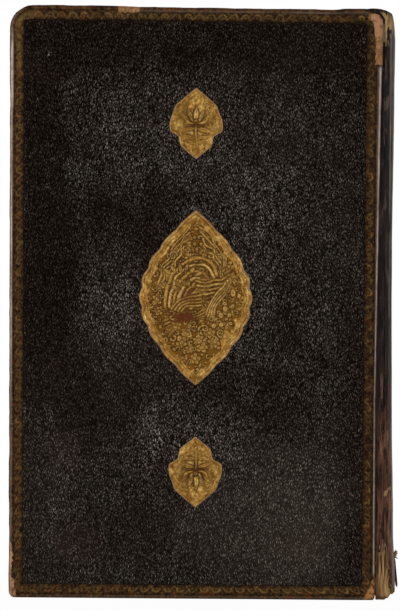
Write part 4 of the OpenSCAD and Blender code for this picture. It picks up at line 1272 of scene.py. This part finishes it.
def leaves():
    """The sewn leaves: a grid across their section, carried from tail to head.

    The fore-edge is hollowed, and its gatherings stand a little in and out.
    """
    nx, ny = 50, 140
    y = np.linspace(-1, 1, ny)
    gathers = np.sin(np.pi * 12 * y)
    edge = LEAVES_LOW[0] + 0.15 + 1.6 * (1 - y ** 2) + 0.09 * np.sign(gathers) * np.abs(gathers) ** 0.5
    edge = edge + 0.12 * noise(y * 30, y, 1.1, 161)
    half = Y_SPINE - 1.65
    inner_u = np.arcsin(np.clip(y * Y_LEAVES / half, -1, 1))
    back = X_SPINE + (size("spine_bulge") - 1.7) * np.cos(inner_u) * np.sqrt(1 + np.sin(inner_u) ** 2)
    share = np.concatenate([[0, 0.004], np.linspace(0.012, 0.985, nx - 4), [0.993, 1]])
    x = edge + (back - edge) * share[:, None]
    yy = np.repeat((Y_LEAVES - 0.04) * y[None, :], nx, 0)
    index = numbered(nx, ny)
    loop = rim_loop(index)
    low, high = LEAVES_LOW[2], LEAVES_HIGH[2]
    ends = []
    for z, seed, hand in ((low, 162, -1), (high, 163, 1)):
        gather = 0.10 * np.abs(np.sin(np.pi * 6 * y)) + 0.08 * noise(y * 25, y, 1.0, seed)
        zz = z - hand * (np.repeat(gather[None, :], nx, 0) + 0.05 * noise(x, yy * 3, 4, seed + 5))
        zz = zz - 0.7 * (hand > 0) * ease(1 - (x - LEAVES_LOW[0]) / 5)
        ends.append(np.stack([x, yy, zz], -1).reshape(-1, 3))
    levels = np.linspace(0, 1, 50)[1:-1, None, None]
    foot, head = ends[0][loop], ends[1][loop]
    walls = foot + (head - foot) * levels
    bulge = 0.06 * noise(walls[..., 2], walls[..., 1] * 9, 5, 164) * (walls[..., 0] < LEAVES_LOW[0] + 3)
    walls[..., 0] += bulge
    flat = np.abs(walls[..., 1]) > Y_LEAVES - 0.1
    sway = 0.05 * (1 + noise(walls[..., 0], walls[..., 2], 26, 165))
    walls[..., 1] -= np.sign(walls[..., 1]) * flat * sway
    count = nx * ny
    numbers = 2 * count + numbered(*walls.shape[:2])
    wall_index = np.concatenate([loop[None], numbers, loop[None] + count])
    quads = np.concatenate([
        grid_faces(index)[:, ::-1], grid_faces(index) + count, grid_faces(wall_index, closed=True)[:, ::-1],
    ])
    points = np.concatenate([*ends, walls.reshape(-1, 3)])
    masks = paper_masks(points, 166)
    masks["edge"] = (np.abs(points[:, 1]) < Y_LEAVES - 0.15).astype(float)
    piece = make_piece("sewn_leaves", points, quads, leaf_material(), masks=masks, crease=40)
    stand_for(piece, "block", "leaves", "leaves")


def endband(end):
    """Silk wrapped over an endband's core in two colours: a half-round section with a slanting ridge
    for each wrap, carried from the front of the leaves to the back."""
    low, high = span(end + "_endband_silk")
    wraps = 15
    y = np.linspace(low[1], high[1], wraps * 12)
    turn = full_turn(24)
    phase = (y[:, None] - low[1]) / (high[1] - low[1]) * wraps + 0.5 * np.abs(np.sin(turn / 2))
    ridge = np.abs(np.sin(np.pi * phase)) ** 0.7
    half_x, half_z = (high[0] - low[0]) / 2, (high[2] - low[2]) / 2
    swell = 0.84 + 0.16 * ridge
    x = (low[0] + high[0]) / 2 + half_x * swell * np.cos(turn)
    z = (low[2] + high[2]) / 2 + half_z * swell * np.sin(turn)
    points, quads, caps = tube(np.stack([x, np.repeat(y[:, None], len(turn), 1), z], -1))
    masks = {"pale": (np.floor(phase) % 2).ravel(), "ridge": ridge.ravel()}
    piece = make_piece(end + "_endband_wraps", points, quads, silk_material(), caps=caps, masks=masks)
    stand_for(piece, "block", "endband_silk", end + "_endband_silk")


def endband_core(end):
    """The cord that an endband's silk is wrapped over."""
    low, high = span(end + "_endband_silk")
    y = np.linspace(low[1] + 0.1, high[1] - 0.1, 30)
    turn = full_turn(16)
    x = (low[0] + high[0]) / 2 + 0.4 * (high[0] - low[0]) * np.cos(turn) + 0 * y[:, None]
    z = (low[2] + high[2]) / 2 + 0.4 * (high[2] - low[2]) * np.sin(turn) + 0 * y[:, None]
    points, quads, caps = tube(np.stack([x, y[:, None] + 0 * x, z], -1))
    cord = plain_fibre("endband core", dye(110, 78, 48), dye(78, 52, 32), 500.0)
    piece = make_piece(end + "_endband_cord", points, quads, cord, caps=caps)
    stand_for(piece, "block", "endband_core", end + "_endband_core")


def strand(path, widths):
    """A thin strip: an ellipse of those widths, carried along a path in the plane of the covers."""
    way = np.gradient(path, axis=0)
    way = way / np.linalg.norm(way, axis=1)[:, None]
    across = np.stack([way[:, 2], 0 * way[:, 0], -way[:, 0]], -1)
    turn = full_turn(8)
    ring = np.cos(turn)[None, :, None] * across[:, None, :] * widths[:, None, None] / 2
    deep = np.sin(turn)[None, :, None] * np.array([0, 1, 0]) * (widths * 0.6)[:, None, None] / 2
    return tube(path[:, None, :] + ring + deep)


def splinter():
    """Leather split off the spine near its tail: a hanging sliver under a tuft of torn fibres."""
    random = np.random.default_rng(171)
    root = np.array([79.2, -0.4, 18.4])
    hang = bow((79.5, -0.6, 17.6), (80.1, -1.0, 11.0), (80.75, -0.8, 4.8), 40)
    t = np.linspace(0, 1, 40)
    widths = 1.15 * (1 - 0.2 * t) * np.sqrt(np.clip((1.02 - t) / 0.12, 0.05, 1)) * unit(0.5 + 3 * t)
    parts = [strand(hang, widths)]
    for k in range(22):
        lean, rise = random.uniform(0.5, 2.1), random.uniform(-2.3, 2.2)
        end = root + np.array([lean, random.uniform(-0.5, 0.5), rise])
        s = np.linspace(0, 1, 8)[:, None]
        path = root * (1 - s) + end * s + np.array([0, 0, 0.5]) * np.sin(np.pi * s) * random.uniform(-1, 1)
        parts.append(strand(path, np.linspace(1.0, 0.22, 8) * random.uniform(0.7, 1.3)))
    points, quads, caps, total = [], [], [], 0
    for part_points, part_quads, part_caps in parts:
        points.append(part_points)
        quads.append(part_quads + total)
        caps += [cap + total for cap in part_caps]
        total += len(part_points)
    points = np.concatenate(points)
    zero = np.zeros(total)
    bare = 0.62 * ease((points[:, 2] - 16.2) / 1.5)
    masks = {"bare": bare, "ridge": zero, "dark_marks": zero, "faded": zero + 0.35}
    quads = np.concatenate(quads)
    piece = make_piece("spine_splinter", points, quads, spine_material(), caps=caps, masks=masks)
    stand_for(piece, "block", "spine_leather")


class Mix:
    """A finish being mixed: its node tree, and the place on the piece that its nodes read."""

    def __init__(self, tree, place=None):
        self.tree, self.place = tree, place

    def feed(self, socket, value):
        """Sets an input, or links it if the value is another node's output."""
        if isinstance(value, bpy.types.NodeSocket):
            self.tree.links.new(value, socket)
        else:
            socket.default_value = value

    def add(self, kind, values=None, **settings):
        """Adds a shader node with its settings, and feeds its inputs."""
        made = self.tree.nodes.new("ShaderNode" + kind)
        for key, value in settings.items():
            setattr(made, key, value)
        for key, value in (values or {}).items():
            self.feed(made.inputs[key], value)
        return made

    def sums(self, operation, *numbers, clamp=False):
        """A sum of numbers, as many as the operation takes."""
        values = dict(enumerate(numbers))
        return self.add("Math", values, operation=operation, use_clamp=clamp).outputs[0]

    def times(self, first, second, clamp=False):
        return self.sums("MULTIPLY", first, second, clamp=clamp)

    def plus(self, first, second):
        return self.sums("ADD", first, second)

    def moved(self, operation, vector, values):
        """A vector changed by another one or by a scale."""
        return self.add("VectorMath", {0: vector, **values}, operation=operation).outputs[0]

    def remap(self, value, low, high, to_low=0.0, to_high=1.0):
        """Smoothly maps value from low..high to to_low..to_high."""
        values = {0: value, 1: low, 2: high, 3: to_low, 4: to_high}
        return self.add("MapRange", values, interpolation_type="SMOOTHSTEP").outputs[0]

    def between(self, share, first, second):
        """A colour between two, by share."""
        values = {0: share, 6: first, 7: second}
        return self.add("Mix", values, data_type="RGBA", clamp_factor=True).outputs[2]

    def coat(self, base, share, strength, colour):
        """Lays a colour over another, by a share times a strength."""
        return self.between(self.times(share, strength), base, colour)

    def mask(self, name):
        """A number that the piece's points carry."""
        return self.add("Attribute", attribute_name=name).outputs["Fac"]

    def drawn_out(self, stretch):
        """The place, with what is drawn there made longer where the stretch is less than 1."""
        return self.add("Mapping", {0: self.place, "Scale": stretch}).outputs[0]

    def speckle(self, scale, detail, place=None, output="Fac"):
        """Fine noise."""
        values = {0: place or self.place, "Scale": scale, "Detail": detail}
        return self.add("TexNoise", values).outputs[output]

    def ragged(self, scale, limit, softness, stretch=None):
        """Ragged patches of wear or dirt."""
        place = self.drawn_out(stretch) if stretch else self.place
        values = {"Vector": place, "Scale": scale, "Limit": limit, "Softness": softness}
        return self.add("Group", values, node_tree=patches_group()).outputs["Mask"]

    def grain(self, cells):
        """Goatskin grain with that many pebbles to a metre."""
        values = {"Vector": self.place, "Cells": cells}
        return self.add("Group", values, node_tree=grain_group()).outputs

    def relief(self, height, depth):
        """A bump of that depth in metres."""
        return self.add("Bump", {"Height": height, "Distance": depth, "Strength": 1.0}).outputs[0]

    def wire(self, **inputs):
        """Feeds the surface's inputs, by their names with _ for a space."""
        for key, value in inputs.items():
            self.feed(self.tree.nodes["Principled BSDF"].inputs[key.replace("_", " ")], value)


def group(name, numbers, outputs, build):
    """A shader node group, made once, that takes a vector and numbers with their usual values.

    build gets a mix and the group's inputs, and gives its outputs by name.
    """
    tree = bpy.data.node_groups.get(name)
    if tree:
        return tree
    tree = bpy.data.node_groups.new(name, "ShaderNodeTree")
    tree.interface.new_socket("Vector", in_out="INPUT", socket_type="NodeSocketVector")
    for label, value in numbers.items():
        socket = tree.interface.new_socket(label, in_out="INPUT", socket_type="NodeSocketFloat")
        socket.default_value = value
    for label in outputs:
        tree.interface.new_socket(label, in_out="OUTPUT", socket_type="NodeSocketFloat")
    given = tree.nodes.new("NodeGroupInput").outputs
    sink = tree.nodes.new("NodeGroupOutput")
    for label, socket in build(Mix(tree, given["Vector"]), given).items():
        tree.links.new(socket, sink.inputs[label])
    return tree


def grain_group():
    """Goatskin grain: round-topped pebbles between wide valleys, longer up the skin than across.

    Tops is high on the pebbles, and differs from one pebble to the next.
    """
    def build(mix, given):
        scaled = mix.drawn_out((1, 1, 0.34))
        centred = mix.moved("SUBTRACT", mix.speckle(700.0, 2.0, scaled, "Color"), {1: (0.5, 0.5, 0.5)})
        bent = mix.moved("ADD", scaled, {1: mix.moved("SCALE", centred, {"Scale": 0.00045})})
        cells = {0: bent, "Scale": given["Cells"]}
        edges = mix.add("TexVoronoi", cells, feature="DISTANCE_TO_EDGE").outputs[0]
        pebble = mix.remap(edges, 0.07, 0.36)
        luck = mix.add("TexVoronoi", cells, feature="F1").outputs["Color"]
        lucky = mix.add("SeparateColor", {0: luck}).outputs[0]
        height = mix.times(pebble, mix.remap(lucky, 0.0, 1.0, 0.4, 1.0))
        height = mix.plus(height, mix.times(mix.speckle(2600.0, 2.0, scaled), 0.25))
        return {"Height": height, "Tops": mix.times(pebble, mix.remap(lucky, 0.0, 1.0, 0.35, 1.25))}
    return group("Goatskin grain", {"Cells": 1000.0}, ("Height", "Tops"), build)


def patches_group():
    """Ragged patches of wear or dirt: noise above a limit."""
    def build(mix, given):
        values = {"Vector": given["Vector"], "Scale": given["Scale"], "Detail": 6.0, "Roughness": 0.65}
        cloud = mix.add("TexNoise", values).outputs["Fac"]
        ends = [mix.sums(way, given["Limit"], given["Softness"]) for way in ("SUBTRACT", "ADD")]
        return {"Mask": mix.remap(cloud, *ends)}
    return group("Ragged patches", {"Scale": 50.0, "Limit": 0.5, "Softness": 0.1}, ("Mask",), build)


def new_material(name, recipe):
    """A material made once: its recipe fills a mix that reads the piece's own coordinates."""
    material = bpy.data.materials.get(name)
    if material is None:
        material = bpy.data.materials.new(name)
        material.use_nodes = True
        mix = Mix(material.node_tree)
        mix.place = mix.add("TexCoord").outputs["Object"]
        recipe(mix)
    return material


def finish(name):
    """Turns a recipe into a function that makes its material."""
    return lambda recipe: lambda: new_material(name, recipe)


@finish("black goatskin")
def panel_material(mix):
    """Black goatskin: pebbled grain whose tops are painted paler, partly for wear and grey bloom and partly
    as a painted highlight of the glints of light on the pebbles, a dull veil, brown scuffs and pale specks.
    """
    grain = mix.grain(1000 / size("grain"))
    haze = mix.mask("haze")
    streak = mix.ragged(230.0, 0.5, 0.2, (1, 1, 0.4))
    bloom = mix.times(haze, mix.remap(streak, 0.0, 1.0, 0.5, 1.2), clamp=True)
    # The tops' paler colours are partly a painted highlight of glints on the grain, in place of gloss.
    tops = mix.between(bloom, paint("black_tops_wear_and_sheen"), paint("black_haze"))
    valley = mix.coat(paint("black_leather"), mix.mask("veil"), 0.7, dye(38, 33, 28))
    tops = mix.coat(tops, mix.mask("veil"), 0.75, dye(104, 96, 88))
    base = mix.between(grain["Tops"], valley, tops)
    scuffed = mix.coat(base, mix.mask("scuff"), 0.25, dye(52, 34, 32))
    final = mix.coat(scuffed, mix.ragged(380.0, 0.80, 0.012), 0.7, dye(140, 126, 112))
    mix.wire(Base_Color=final, Roughness=mix.remap(haze, 0.0, 1.0, 0.36, 0.5), Specular_IOR_Level=0.008)
    mix.wire(Normal=mix.relief(grain["Height"], 0.00012))


@finish("brown case leather")
def case_material(mix):
    """Brown case leather: darkening that is partly painted shade and partly darker leather, faded red, worn
    gold in the roll, bare tan where the skin is gone, and pale edges that are partly rubbed and partly a
    painted highlight."""
    grain = mix.grain(1500.0)
    base = mix.between(mix.ragged(620.0, 0.5, 0.09), paint("brown_leather"), dye(26, 13, 6))
    base = mix.coat(base, mix.ragged(90.0, 0.5, 0.16), 0.5, dye(30, 17, 10))
    base = mix.coat(base, mix.ragged(210.0, 0.58, 0.06), 0.6, paint("red_leather"))
    base = mix.coat(base, mix.ragged(520.0, 0.56, 0.05), 0.5, dye(98, 76, 42))
    base = mix.coat(base, grain["Tops"], 0.35, dye(104, 82, 58))
    # Painted shade and some darker leather, from the dark mask.
    base = mix.coat(base, mix.mask("dark"), 0.8, dye(12, 8, 5))
    broken = mix.remap(mix.ragged(900.0, 0.48, 0.12), 0, 1, 0.35, 1.0)
    spotty = mix.times(mix.mask("gold"), broken)
    base = mix.between(spotty, base, paint("roll_gold"))
    base = mix.coat(base, mix.mask("rubbed"), 0.4, dye(98, 60, 34))
    fibres = mix.ragged(420.0, 0.5, 0.2, (2.4, 1, 0.5))
    tan = mix.between(fibres, paint("tan_leather"), dye(112, 72, 42))
    core = mix.between(mix.ragged(620.0, 0.5, 0.06), dye(152, 106, 62), dye(88, 58, 34))
    tan = mix.coat(tan, mix.ragged(170.0, 0.5, 0.1), 0.6, dye(158, 116, 88))
    tan = mix.coat(tan, mix.ragged(330.0, 0.52, 0.05), 0.7, dye(96, 66, 36))
    tan = mix.between(mix.mask("core"), tan, core)
    loss = mix.plus(mix.mask("bare"), mix.remap(mix.ragged(500.0, 0.5, 0.3), 0, 1, -0.2, 0.2))
    bare = mix.remap(loss, 0.35, 0.65)
    final = mix.between(bare, base, tan)
    streak = mix.remap(mix.ragged(300.0, 0.45, 0.2), 0, 1, 0.55, 1.0)
    # Pale edges: rubbed skin and a painted highlight of the sheen on the rounded edges.
    final = mix.coat(final, mix.mask("pale"), streak, paint("pale_rub_and_sheen"))
    mix.wire(Base_Color=final, Roughness=mix.remap(bare, 0, 1, 0.42, 0.8), Specular_IOR_Level=0.02)
    mix.wire(Metallic=mix.times(spotty, 0.25))
    height = mix.plus(mix.times(grain["Height"], 0.6), mix.times(fibres, 0.5))
    mix.wire(Normal=mix.relief(height, 0.00007))


@finish("stamped gilt leather")
def gilt_material(mix):
    """Gilt leather: gold figures that are darker on the low ground, with a painted highlight on their
    crests and painted glints, brown creases, a rubbed pale rim, and olive and orange patches.
    """
    height = mix.mask("relief")
    cloud = mix.ragged(260.0, 0.5, 0.2)
    olive = mix.ragged(130.0, 0.52, 0.14)
    low_gold = mix.between(olive, dye(112, 70, 20), dye(100, 72, 18))
    high_gold = mix.between(cloud, paint("gilt"), dye(158, 114, 48))
    gold = mix.between(mix.remap(height, 0.1, 0.9), low_gold, high_gold)
    # Painted highlight on the crests of the figures, and near white painted glints where the relief runs
    # over 1.
    gold = mix.between(mix.remap(height, 0.8, 1.0, 0.0, 0.7), gold, dye(214, 176, 104))
    gold = mix.between(mix.remap(height, 1.0, 1.12, 0.0, 0.8), gold, dye(236, 218, 168))
    gold = mix.coat(gold, mix.mask("plain"), 0.7, dye(142, 98, 42))
    gold = mix.coat(gold, mix.mask("rim"), 0.35, paint("gilt_rim"))
    gold = mix.coat(gold, mix.ragged(820.0, 0.5, 0.1), 0.5, dye(88, 54, 14))
    gold = mix.coat(gold, mix.ragged(950.0, 0.6, 0.05), 0.6, dye(208, 170, 100))
    base = mix.coat(gold, mix.mask("line"), 0.9, paint("gilt_line"))
    base = mix.coat(base, mix.mask("dark"), 0.7, dye(52, 28, 6))
    base = mix.coat(base, mix.mask("red"), 0.85, paint("gilt_worn"))
    pink = mix.times(mix.mask("edge"), mix.remap(cloud, 0, 1, 0.4, 0.95))
    final = mix.between(pink, base, dye(140, 108, 84))
    metal = mix.times(mix.remap(mix.mask("line"), 0, 0.6, 1, 0), mix.remap(cloud, 0, 1, 0.36, 0.16))
    fine = mix.speckle(1700.0, 3.0)
    mix.wire(Base_Color=final, Metallic=metal, Roughness=mix.remap(fine, 0.3, 0.7, 0.34, 0.52))
    mix.wire(Specular_IOR_Level=0.05, Normal=mix.relief(fine, 0.00005))


@finish("spine leather")
def spine_material(mix):
    """Spine leather: nearly black, brown towards the tail, with a pale ridge that is partly rubbed and
    partly a painted sheen, cracks, painted shade in the joint's groove and its split, and bare tan.
    """
    grain = mix.grain(1300.0)
    streaks = mix.ragged(900.0, 0.5, 0.08, (1, 1, 0.1))
    blots = mix.ragged(330.0, 0.5, 0.08, (1, 1, 0.1))
    dark = mix.between(streaks, paint("spine_dark"), dye(14, 10, 9))
    warm = mix.between(streaks, paint("spine_warm"), dye(18, 8, 6))
    warm = mix.coat(warm, blots, 0.55, dye(52, 36, 24))
    rubs = mix.ragged(420.0, 0.6, 0.04, (1, 1, 0.2))
    dark = mix.coat(dark, rubs, 0.6, dye(84, 70, 62))
    warm = mix.coat(warm, rubs, 0.6, dye(122, 88, 68))
    base = mix.between(mix.mask("faded"), dark, warm)
    # Pale ridge: rubbed leather and a painted sheen; on the joint strips, a pale line that is partly a
    # painted highlight.
    ridge = mix.times(mix.mask("ridge"), mix.remap(streaks, 0, 1, 1.0, 0.6))
    base = mix.coat(base, ridge, 0.9, dye(150, 130, 116))
    # Cracks and a hole, and painted shade in the joint's groove and in the split at the head.
    base = mix.coat(base, mix.mask("dark_marks"), 0.85, dye(20, 6, 6))
    fibres = mix.ragged(500.0, 0.5, 0.2, (1, 1, 0.3))
    tan = mix.between(fibres, dye(152, 124, 86), dye(92, 68, 42))
    loss = mix.plus(mix.mask("bare"), mix.remap(fibres, 0, 1, -0.18, 0.18))
    bare = mix.remap(loss, 0.3, 0.7)
    final = mix.between(bare, base, tan)
    mix.wire(Base_Color=final, Roughness=mix.remap(bare, 0, 1, 0.4, 0.8), Specular_IOR_Level=0.05)
    height = mix.plus(mix.times(grain["Height"], 0.7), mix.times(streaks, 0.6))
    mix.wire(Normal=mix.relief(height, 0.00007))


@finish("paper lining")
def lining_material(mix):
    """Old paper lining: tan, brown with glue and dirt in its folds."""
    streaks = mix.ragged(800.0, 0.5, 0.2, (1, 1, 0.12))
    base = mix.between(streaks, paint("lining"), dye(112, 80, 44))
    final = mix.between(mix.mask("stain"), base, paint("lining_stain"))
    mix.wire(Base_Color=final, Roughness=0.85, Specular_IOR_Level=0.2)
    mix.wire(Normal=mix.relief(streaks, 0.00008))


def paper_recipe(mix, lines):
    """Old laid paper: fibres, foxing and brown stains, and the lines of its leaves where asked."""
    fibre = mix.speckle(1900.0, 4.0)
    fox = mix.ragged(240.0, 0.68, 0.05)
    base = mix.between(mix.mask("stain"), paint("leaf"), dye(186, 152, 104))
    base = mix.coat(base, fox, 0.5, dye(140, 92, 50))
    height = fibre
    if lines:
        depth = mix.add("SeparateXYZ", {0: mix.place}).outputs[1]
        shaken = mix.plus(depth, mix.times(fibre, 0.00012))
        leaf = mix.sums("SINE", mix.times(shaken, 2 * math.pi / 0.00026))
        edge = mix.mask("edge")
        leaf = mix.times(mix.remap(leaf, -1.0, 1.0), edge)
        dust = mix.ragged(70.0, 0.5, 0.2)
        shade = mix.between(leaf, paint("leaf_edge"), dye(206, 182, 138))
        shade = mix.coat(shade, dust, 0.5, dye(120, 96, 66))
        base = mix.between(edge, base, shade)
        height = mix.plus(fibre, leaf)
    mix.wire(Base_Color=base, Roughness=0.85, Specular_IOR_Level=0.2, Normal=mix.relief(height, 0.00004))


@finish("old paper")
def paper_material(mix):
    """The paper of the pastedowns and of the strips at the joints."""
    paper_recipe(mix, False)


@finish("sewn paper")
def leaf_material(mix):
    """The paper of the sewn leaves."""
    paper_recipe(mix, True)


@finish("endband silk")
def silk_material(mix):
    """Silk floss in two colours, with fine threads along each wrap and painted shade in the grooves between
    the wraps.
    """
    wave = {0: mix.place, "Scale": 1400.0, "Distortion": 2.0}
    threads = mix.add("TexWave", wave, bands_direction="Y").outputs["Fac"]
    base = mix.between(mix.mask("pale"), paint("silk_warm"), paint("silk_pale"))
    final = mix.coat(base, threads, 0.3, dye(60, 30, 20))
    # Painted shade in the grooves between the wraps.
    final = mix.between(mix.remap(mix.mask("ridge"), 0.0, 0.5, 0.7, 0.0), final, dye(40, 22, 16))
    mix.wire(Base_Color=final, Roughness=0.45, Normal=mix.relief(threads, 0.00003))


def plain_fibre(name, first, second, scale, weave=False):
    """A fibrous material in two colours, woven if asked, for the pieces inside the book."""
    def recipe(mix):
        cloud = mix.ragged(scale, 0.5, 0.2)
        height = cloud
        if weave:
            wave = {0: mix.place, "Scale": 420.0}
            yarns = [mix.add("TexWave", wave, bands_direction=way).outputs["Fac"] for way in "YZ"]
            height = mix.sums("MAXIMUM", *yarns)
        final = mix.coat(mix.between(cloud, first, second), height, 0.3, second)
        mix.wire(Base_Color=final, Roughness=0.85, Specular_IOR_Level=0.25)
        mix.wire(Normal=mix.relief(height, 0.00005))
    return new_material(name, recipe)


class BOOK_OT_panels(Operator):
    """Adds the black grained panels of both covers"""

    bl_idname = "book.panels"
    bl_label = "Grained Panels"

    def execute(self, context):
        panel(FRONT)
        panel(BACK)
        return {"FINISHED"}


class BOOK_OT_cases(Operator):
    """Adds the brown case leather of both covers, with its running scroll"""

    bl_idname = "book.cases"
    bl_label = "Case Leather"

    def execute(self, context):
        for side in (FRONT, BACK):
            case_leather(side)
            board_core(side)
        return {"FINISHED"}


class BOOK_OT_onlays(Operator):
    """Adds the stamped gilt almond and its two pendants"""

    bl_idname = "book.onlays"
    bl_label = "Gilt Onlays"

    def execute(self, context):
        for place, node in ONLAYS.items():
            onlay(place, node)
        return {"FINISHED"}


class BOOK_OT_spine(Operator):
    """Adds the spine leather, the paper lining under it and the loose splinter"""

    bl_idname = "book.spine"
    bl_label = "Spine"

    def execute(self, context):
        spine_leather()
        spine_lining()
        splinter()
        return {"FINISHED"}


class BOOK_OT_joints(Operator):
    """Adds the leather and the paper that bend at the joints"""

    bl_idname = "book.joints"
    bl_label = "Joints"

    def execute(self, context):
        for side in (FRONT, BACK):
            joint_strip(side)
            inner_strip(side)
        return {"FINISHED"}


class BOOK_OT_leaves(Operator):
    """Adds the sewn leaves, their endbands and the papers pasted inside the boards"""

    bl_idname = "book.leaves"
    bl_label = "Leaves and Papers"

    def execute(self, context):
        leaves()
        endband("head")
        endband("tail")
        endband_core("head")
        endband_core("tail")
        pastedown(FRONT)
        pastedown(BACK)
        return {"FINISHED"}


class BOOK_OT_inner_pieces(Operator):
    """Gives the pieces inside the book their materials"""

    bl_idname = "book.inner_pieces"
    bl_label = "Inner Pieces"

    def execute(self, context):
        cloth = plain_fibre("lining cloth", dye(150, 128, 92), dye(110, 88, 58), 200.0, weave=True)
        thread = plain_fibre("sewing thread", paint("thread"), dye(170, 150, 116), 900.0)
        for node, material in (("spine_cloth", cloth), ("sewing_threads", thread)):
            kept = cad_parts[node].data.materials
            kept.clear()
            kept.append(material)
        return {"FINISHED"}


# The photograph's view: 401 x 610 pixels, each a PIXEL of millimetres wide on the front cover
PIXEL = 0.4141
VIEW_PIXELS = 610
VIEW_X, VIEW_Z = -1.5, 121.8
CAMERA_REACH = 1600.0
CAMERA_ROLL = 0.46


class BOOK_OT_stage(Operator):
    """Adds the camera, the lamps, the pale floor and the white surround"""

    bl_idname = "book.stage"
    bl_label = "Stage"

    def execute(self, context):
        scene = bpy.context.scene
        scene.view_settings.view_transform = "Standard"
        camera = bpy.data.objects.new("book_camera", bpy.data.cameras.new("book_camera"))
        scene.collection.objects.link(camera)
        reach = CAMERA_REACH - Y_FACE
        camera.data.sensor_width = 36
        camera.data.lens = 36 * reach / (VIEW_PIXELS * PIXEL)
        camera.data.clip_start, camera.data.clip_end = 0.01, 100
        camera.location = (VIEW_X / 1000, -CAMERA_REACH / 1000, VIEW_Z / 1000)
        camera.rotation_euler = (math.radians(90), math.radians(-CAMERA_ROLL), 0)
        scene.camera = camera
        for name, angle, power in (("left_lamp", -45, 7.6), ("right_lamp", 45, 5.8)):
            lamp = bpy.data.lights.new(name, "AREA")
            lamp.size, lamp.energy = 0.5, power
            held = bpy.data.objects.new(name, lamp)
            scene.collection.objects.link(held)
            turn = math.radians(angle)
            held.location = (1.2 * math.sin(turn), -1.2 * math.cos(turn), 0.35)
            aim = held.location.copy()
            aim.z -= 0.12
            held.rotation_mode = "QUATERNION"
            held.rotation_quaternion = aim.to_track_quat("Z", "Y")
        self.surround(scene)
        self.floor()
        return {"FINISHED"}

    def surround(self, scene):
        """White to the camera and in gloss, and a soft light on everything else."""
        world = bpy.data.worlds.new("white surround")
        scene.world = world
        world.use_nodes = True
        mix = Mix(world.node_tree)
        path = mix.add("LightPath").outputs
        seen = mix.sums("MAXIMUM", path["Is Camera Ray"], path["Is Glossy Ray"])
        seen = mix.sums("MAXIMUM", seen, path["Is Transmission Ray"])
        background = mix.tree.nodes["Background"].inputs
        mix.feed(background[0], (1, 1, 1, 1))
        mix.feed(background[1], mix.remap(seen, 0, 1, 0.35, 1.0))

    def floor(self):
        """A wide pale disc under the book, which keeps its shadow."""
        turn = full_turn(96)
        rings = np.array([0, 0.35, 1.0]) * 900 + 1
        x = rings[:, None] * np.cos(turn)
        y = rings[:, None] * np.sin(turn)
        points, quads, caps = tube(np.stack([x, y, 0 * x - 0.02], -1))

        def recipe(mix):
            base = mix.coat(dye(250, 250, 248), mix.speckle(30.0, 2.0), 0.1, dye(238, 236, 230))
            mix.wire(Base_Color=base, Roughness=0.9, Specular_IOR_Level=0.1)
            path = mix.add("LightPath").outputs
            seen = mix.sums("MAXIMUM", path["Is Camera Ray"], path["Is Glossy Ray"])
            glow = mix.add("Emission", {0: (1, 1, 1, 1), 1: 1.0}).outputs[0]
            reach = mix.add("VectorMath", {0: mix.place}, operation="LENGTH").outputs["Value"]
            share = mix.times(seen, mix.remap(reach, 0.08, 0.3, 0.96, 1.0))
            nodes = mix.tree.nodes
            shader = nodes["Principled BSDF"].outputs[0]
            both = mix.add("MixShader", {0: share, 1: shader, 2: glow})
            mix.feed(nodes["Material Output"].inputs[0], both.outputs[0])

        make_piece("pale_floor", points, quads, new_material("pale floor", recipe), caps=caps[:1])


class BOOK_PT_sidebar(Panel):
    """Lists the book's operators, sizes and colours"""

    bl_label = "Old Leather Book"
    bl_space_type = "VIEW_3D"
    bl_region_type = "UI"
    bl_category = "Book"

    def draw(self, context):
        for operator in OPERATORS:
            self.layout.operator(operator.bl_idname)
        for settings in (context.scene.book_sizes, context.scene.book_colours):
            column = self.layout.column(align=True)
            for name in settings.bl_rna.properties.keys():
                if name not in ("rna_type", "name"):
                    column.prop(settings, name)


OPERATORS = (
    BOOK_OT_stage, BOOK_OT_panels, BOOK_OT_cases, BOOK_OT_onlays, BOOK_OT_spine, BOOK_OT_joints,
    BOOK_OT_leaves, BOOK_OT_inner_pieces,
)
CLASSES = (BookSizes, BookColours, *OPERATORS, BOOK_PT_sidebar)


def register():
    for cls in CLASSES:
        bpy.utils.register_class(cls)
    bpy.types.Scene.book_sizes = PointerProperty(type=BookSizes)
    bpy.types.Scene.book_colours = PointerProperty(type=BookColours)


def unregister():
    del bpy.types.Scene.book_colours
    del bpy.types.Scene.book_sizes
    for cls in reversed(CLASSES):
        bpy.utils.unregister_class(cls)


def main():
    register()
    for operator in OPERATORS:
        getattr(bpy.ops.book, operator.bl_idname.split(".")[1])()


if __name__ == "__main__":
    main()
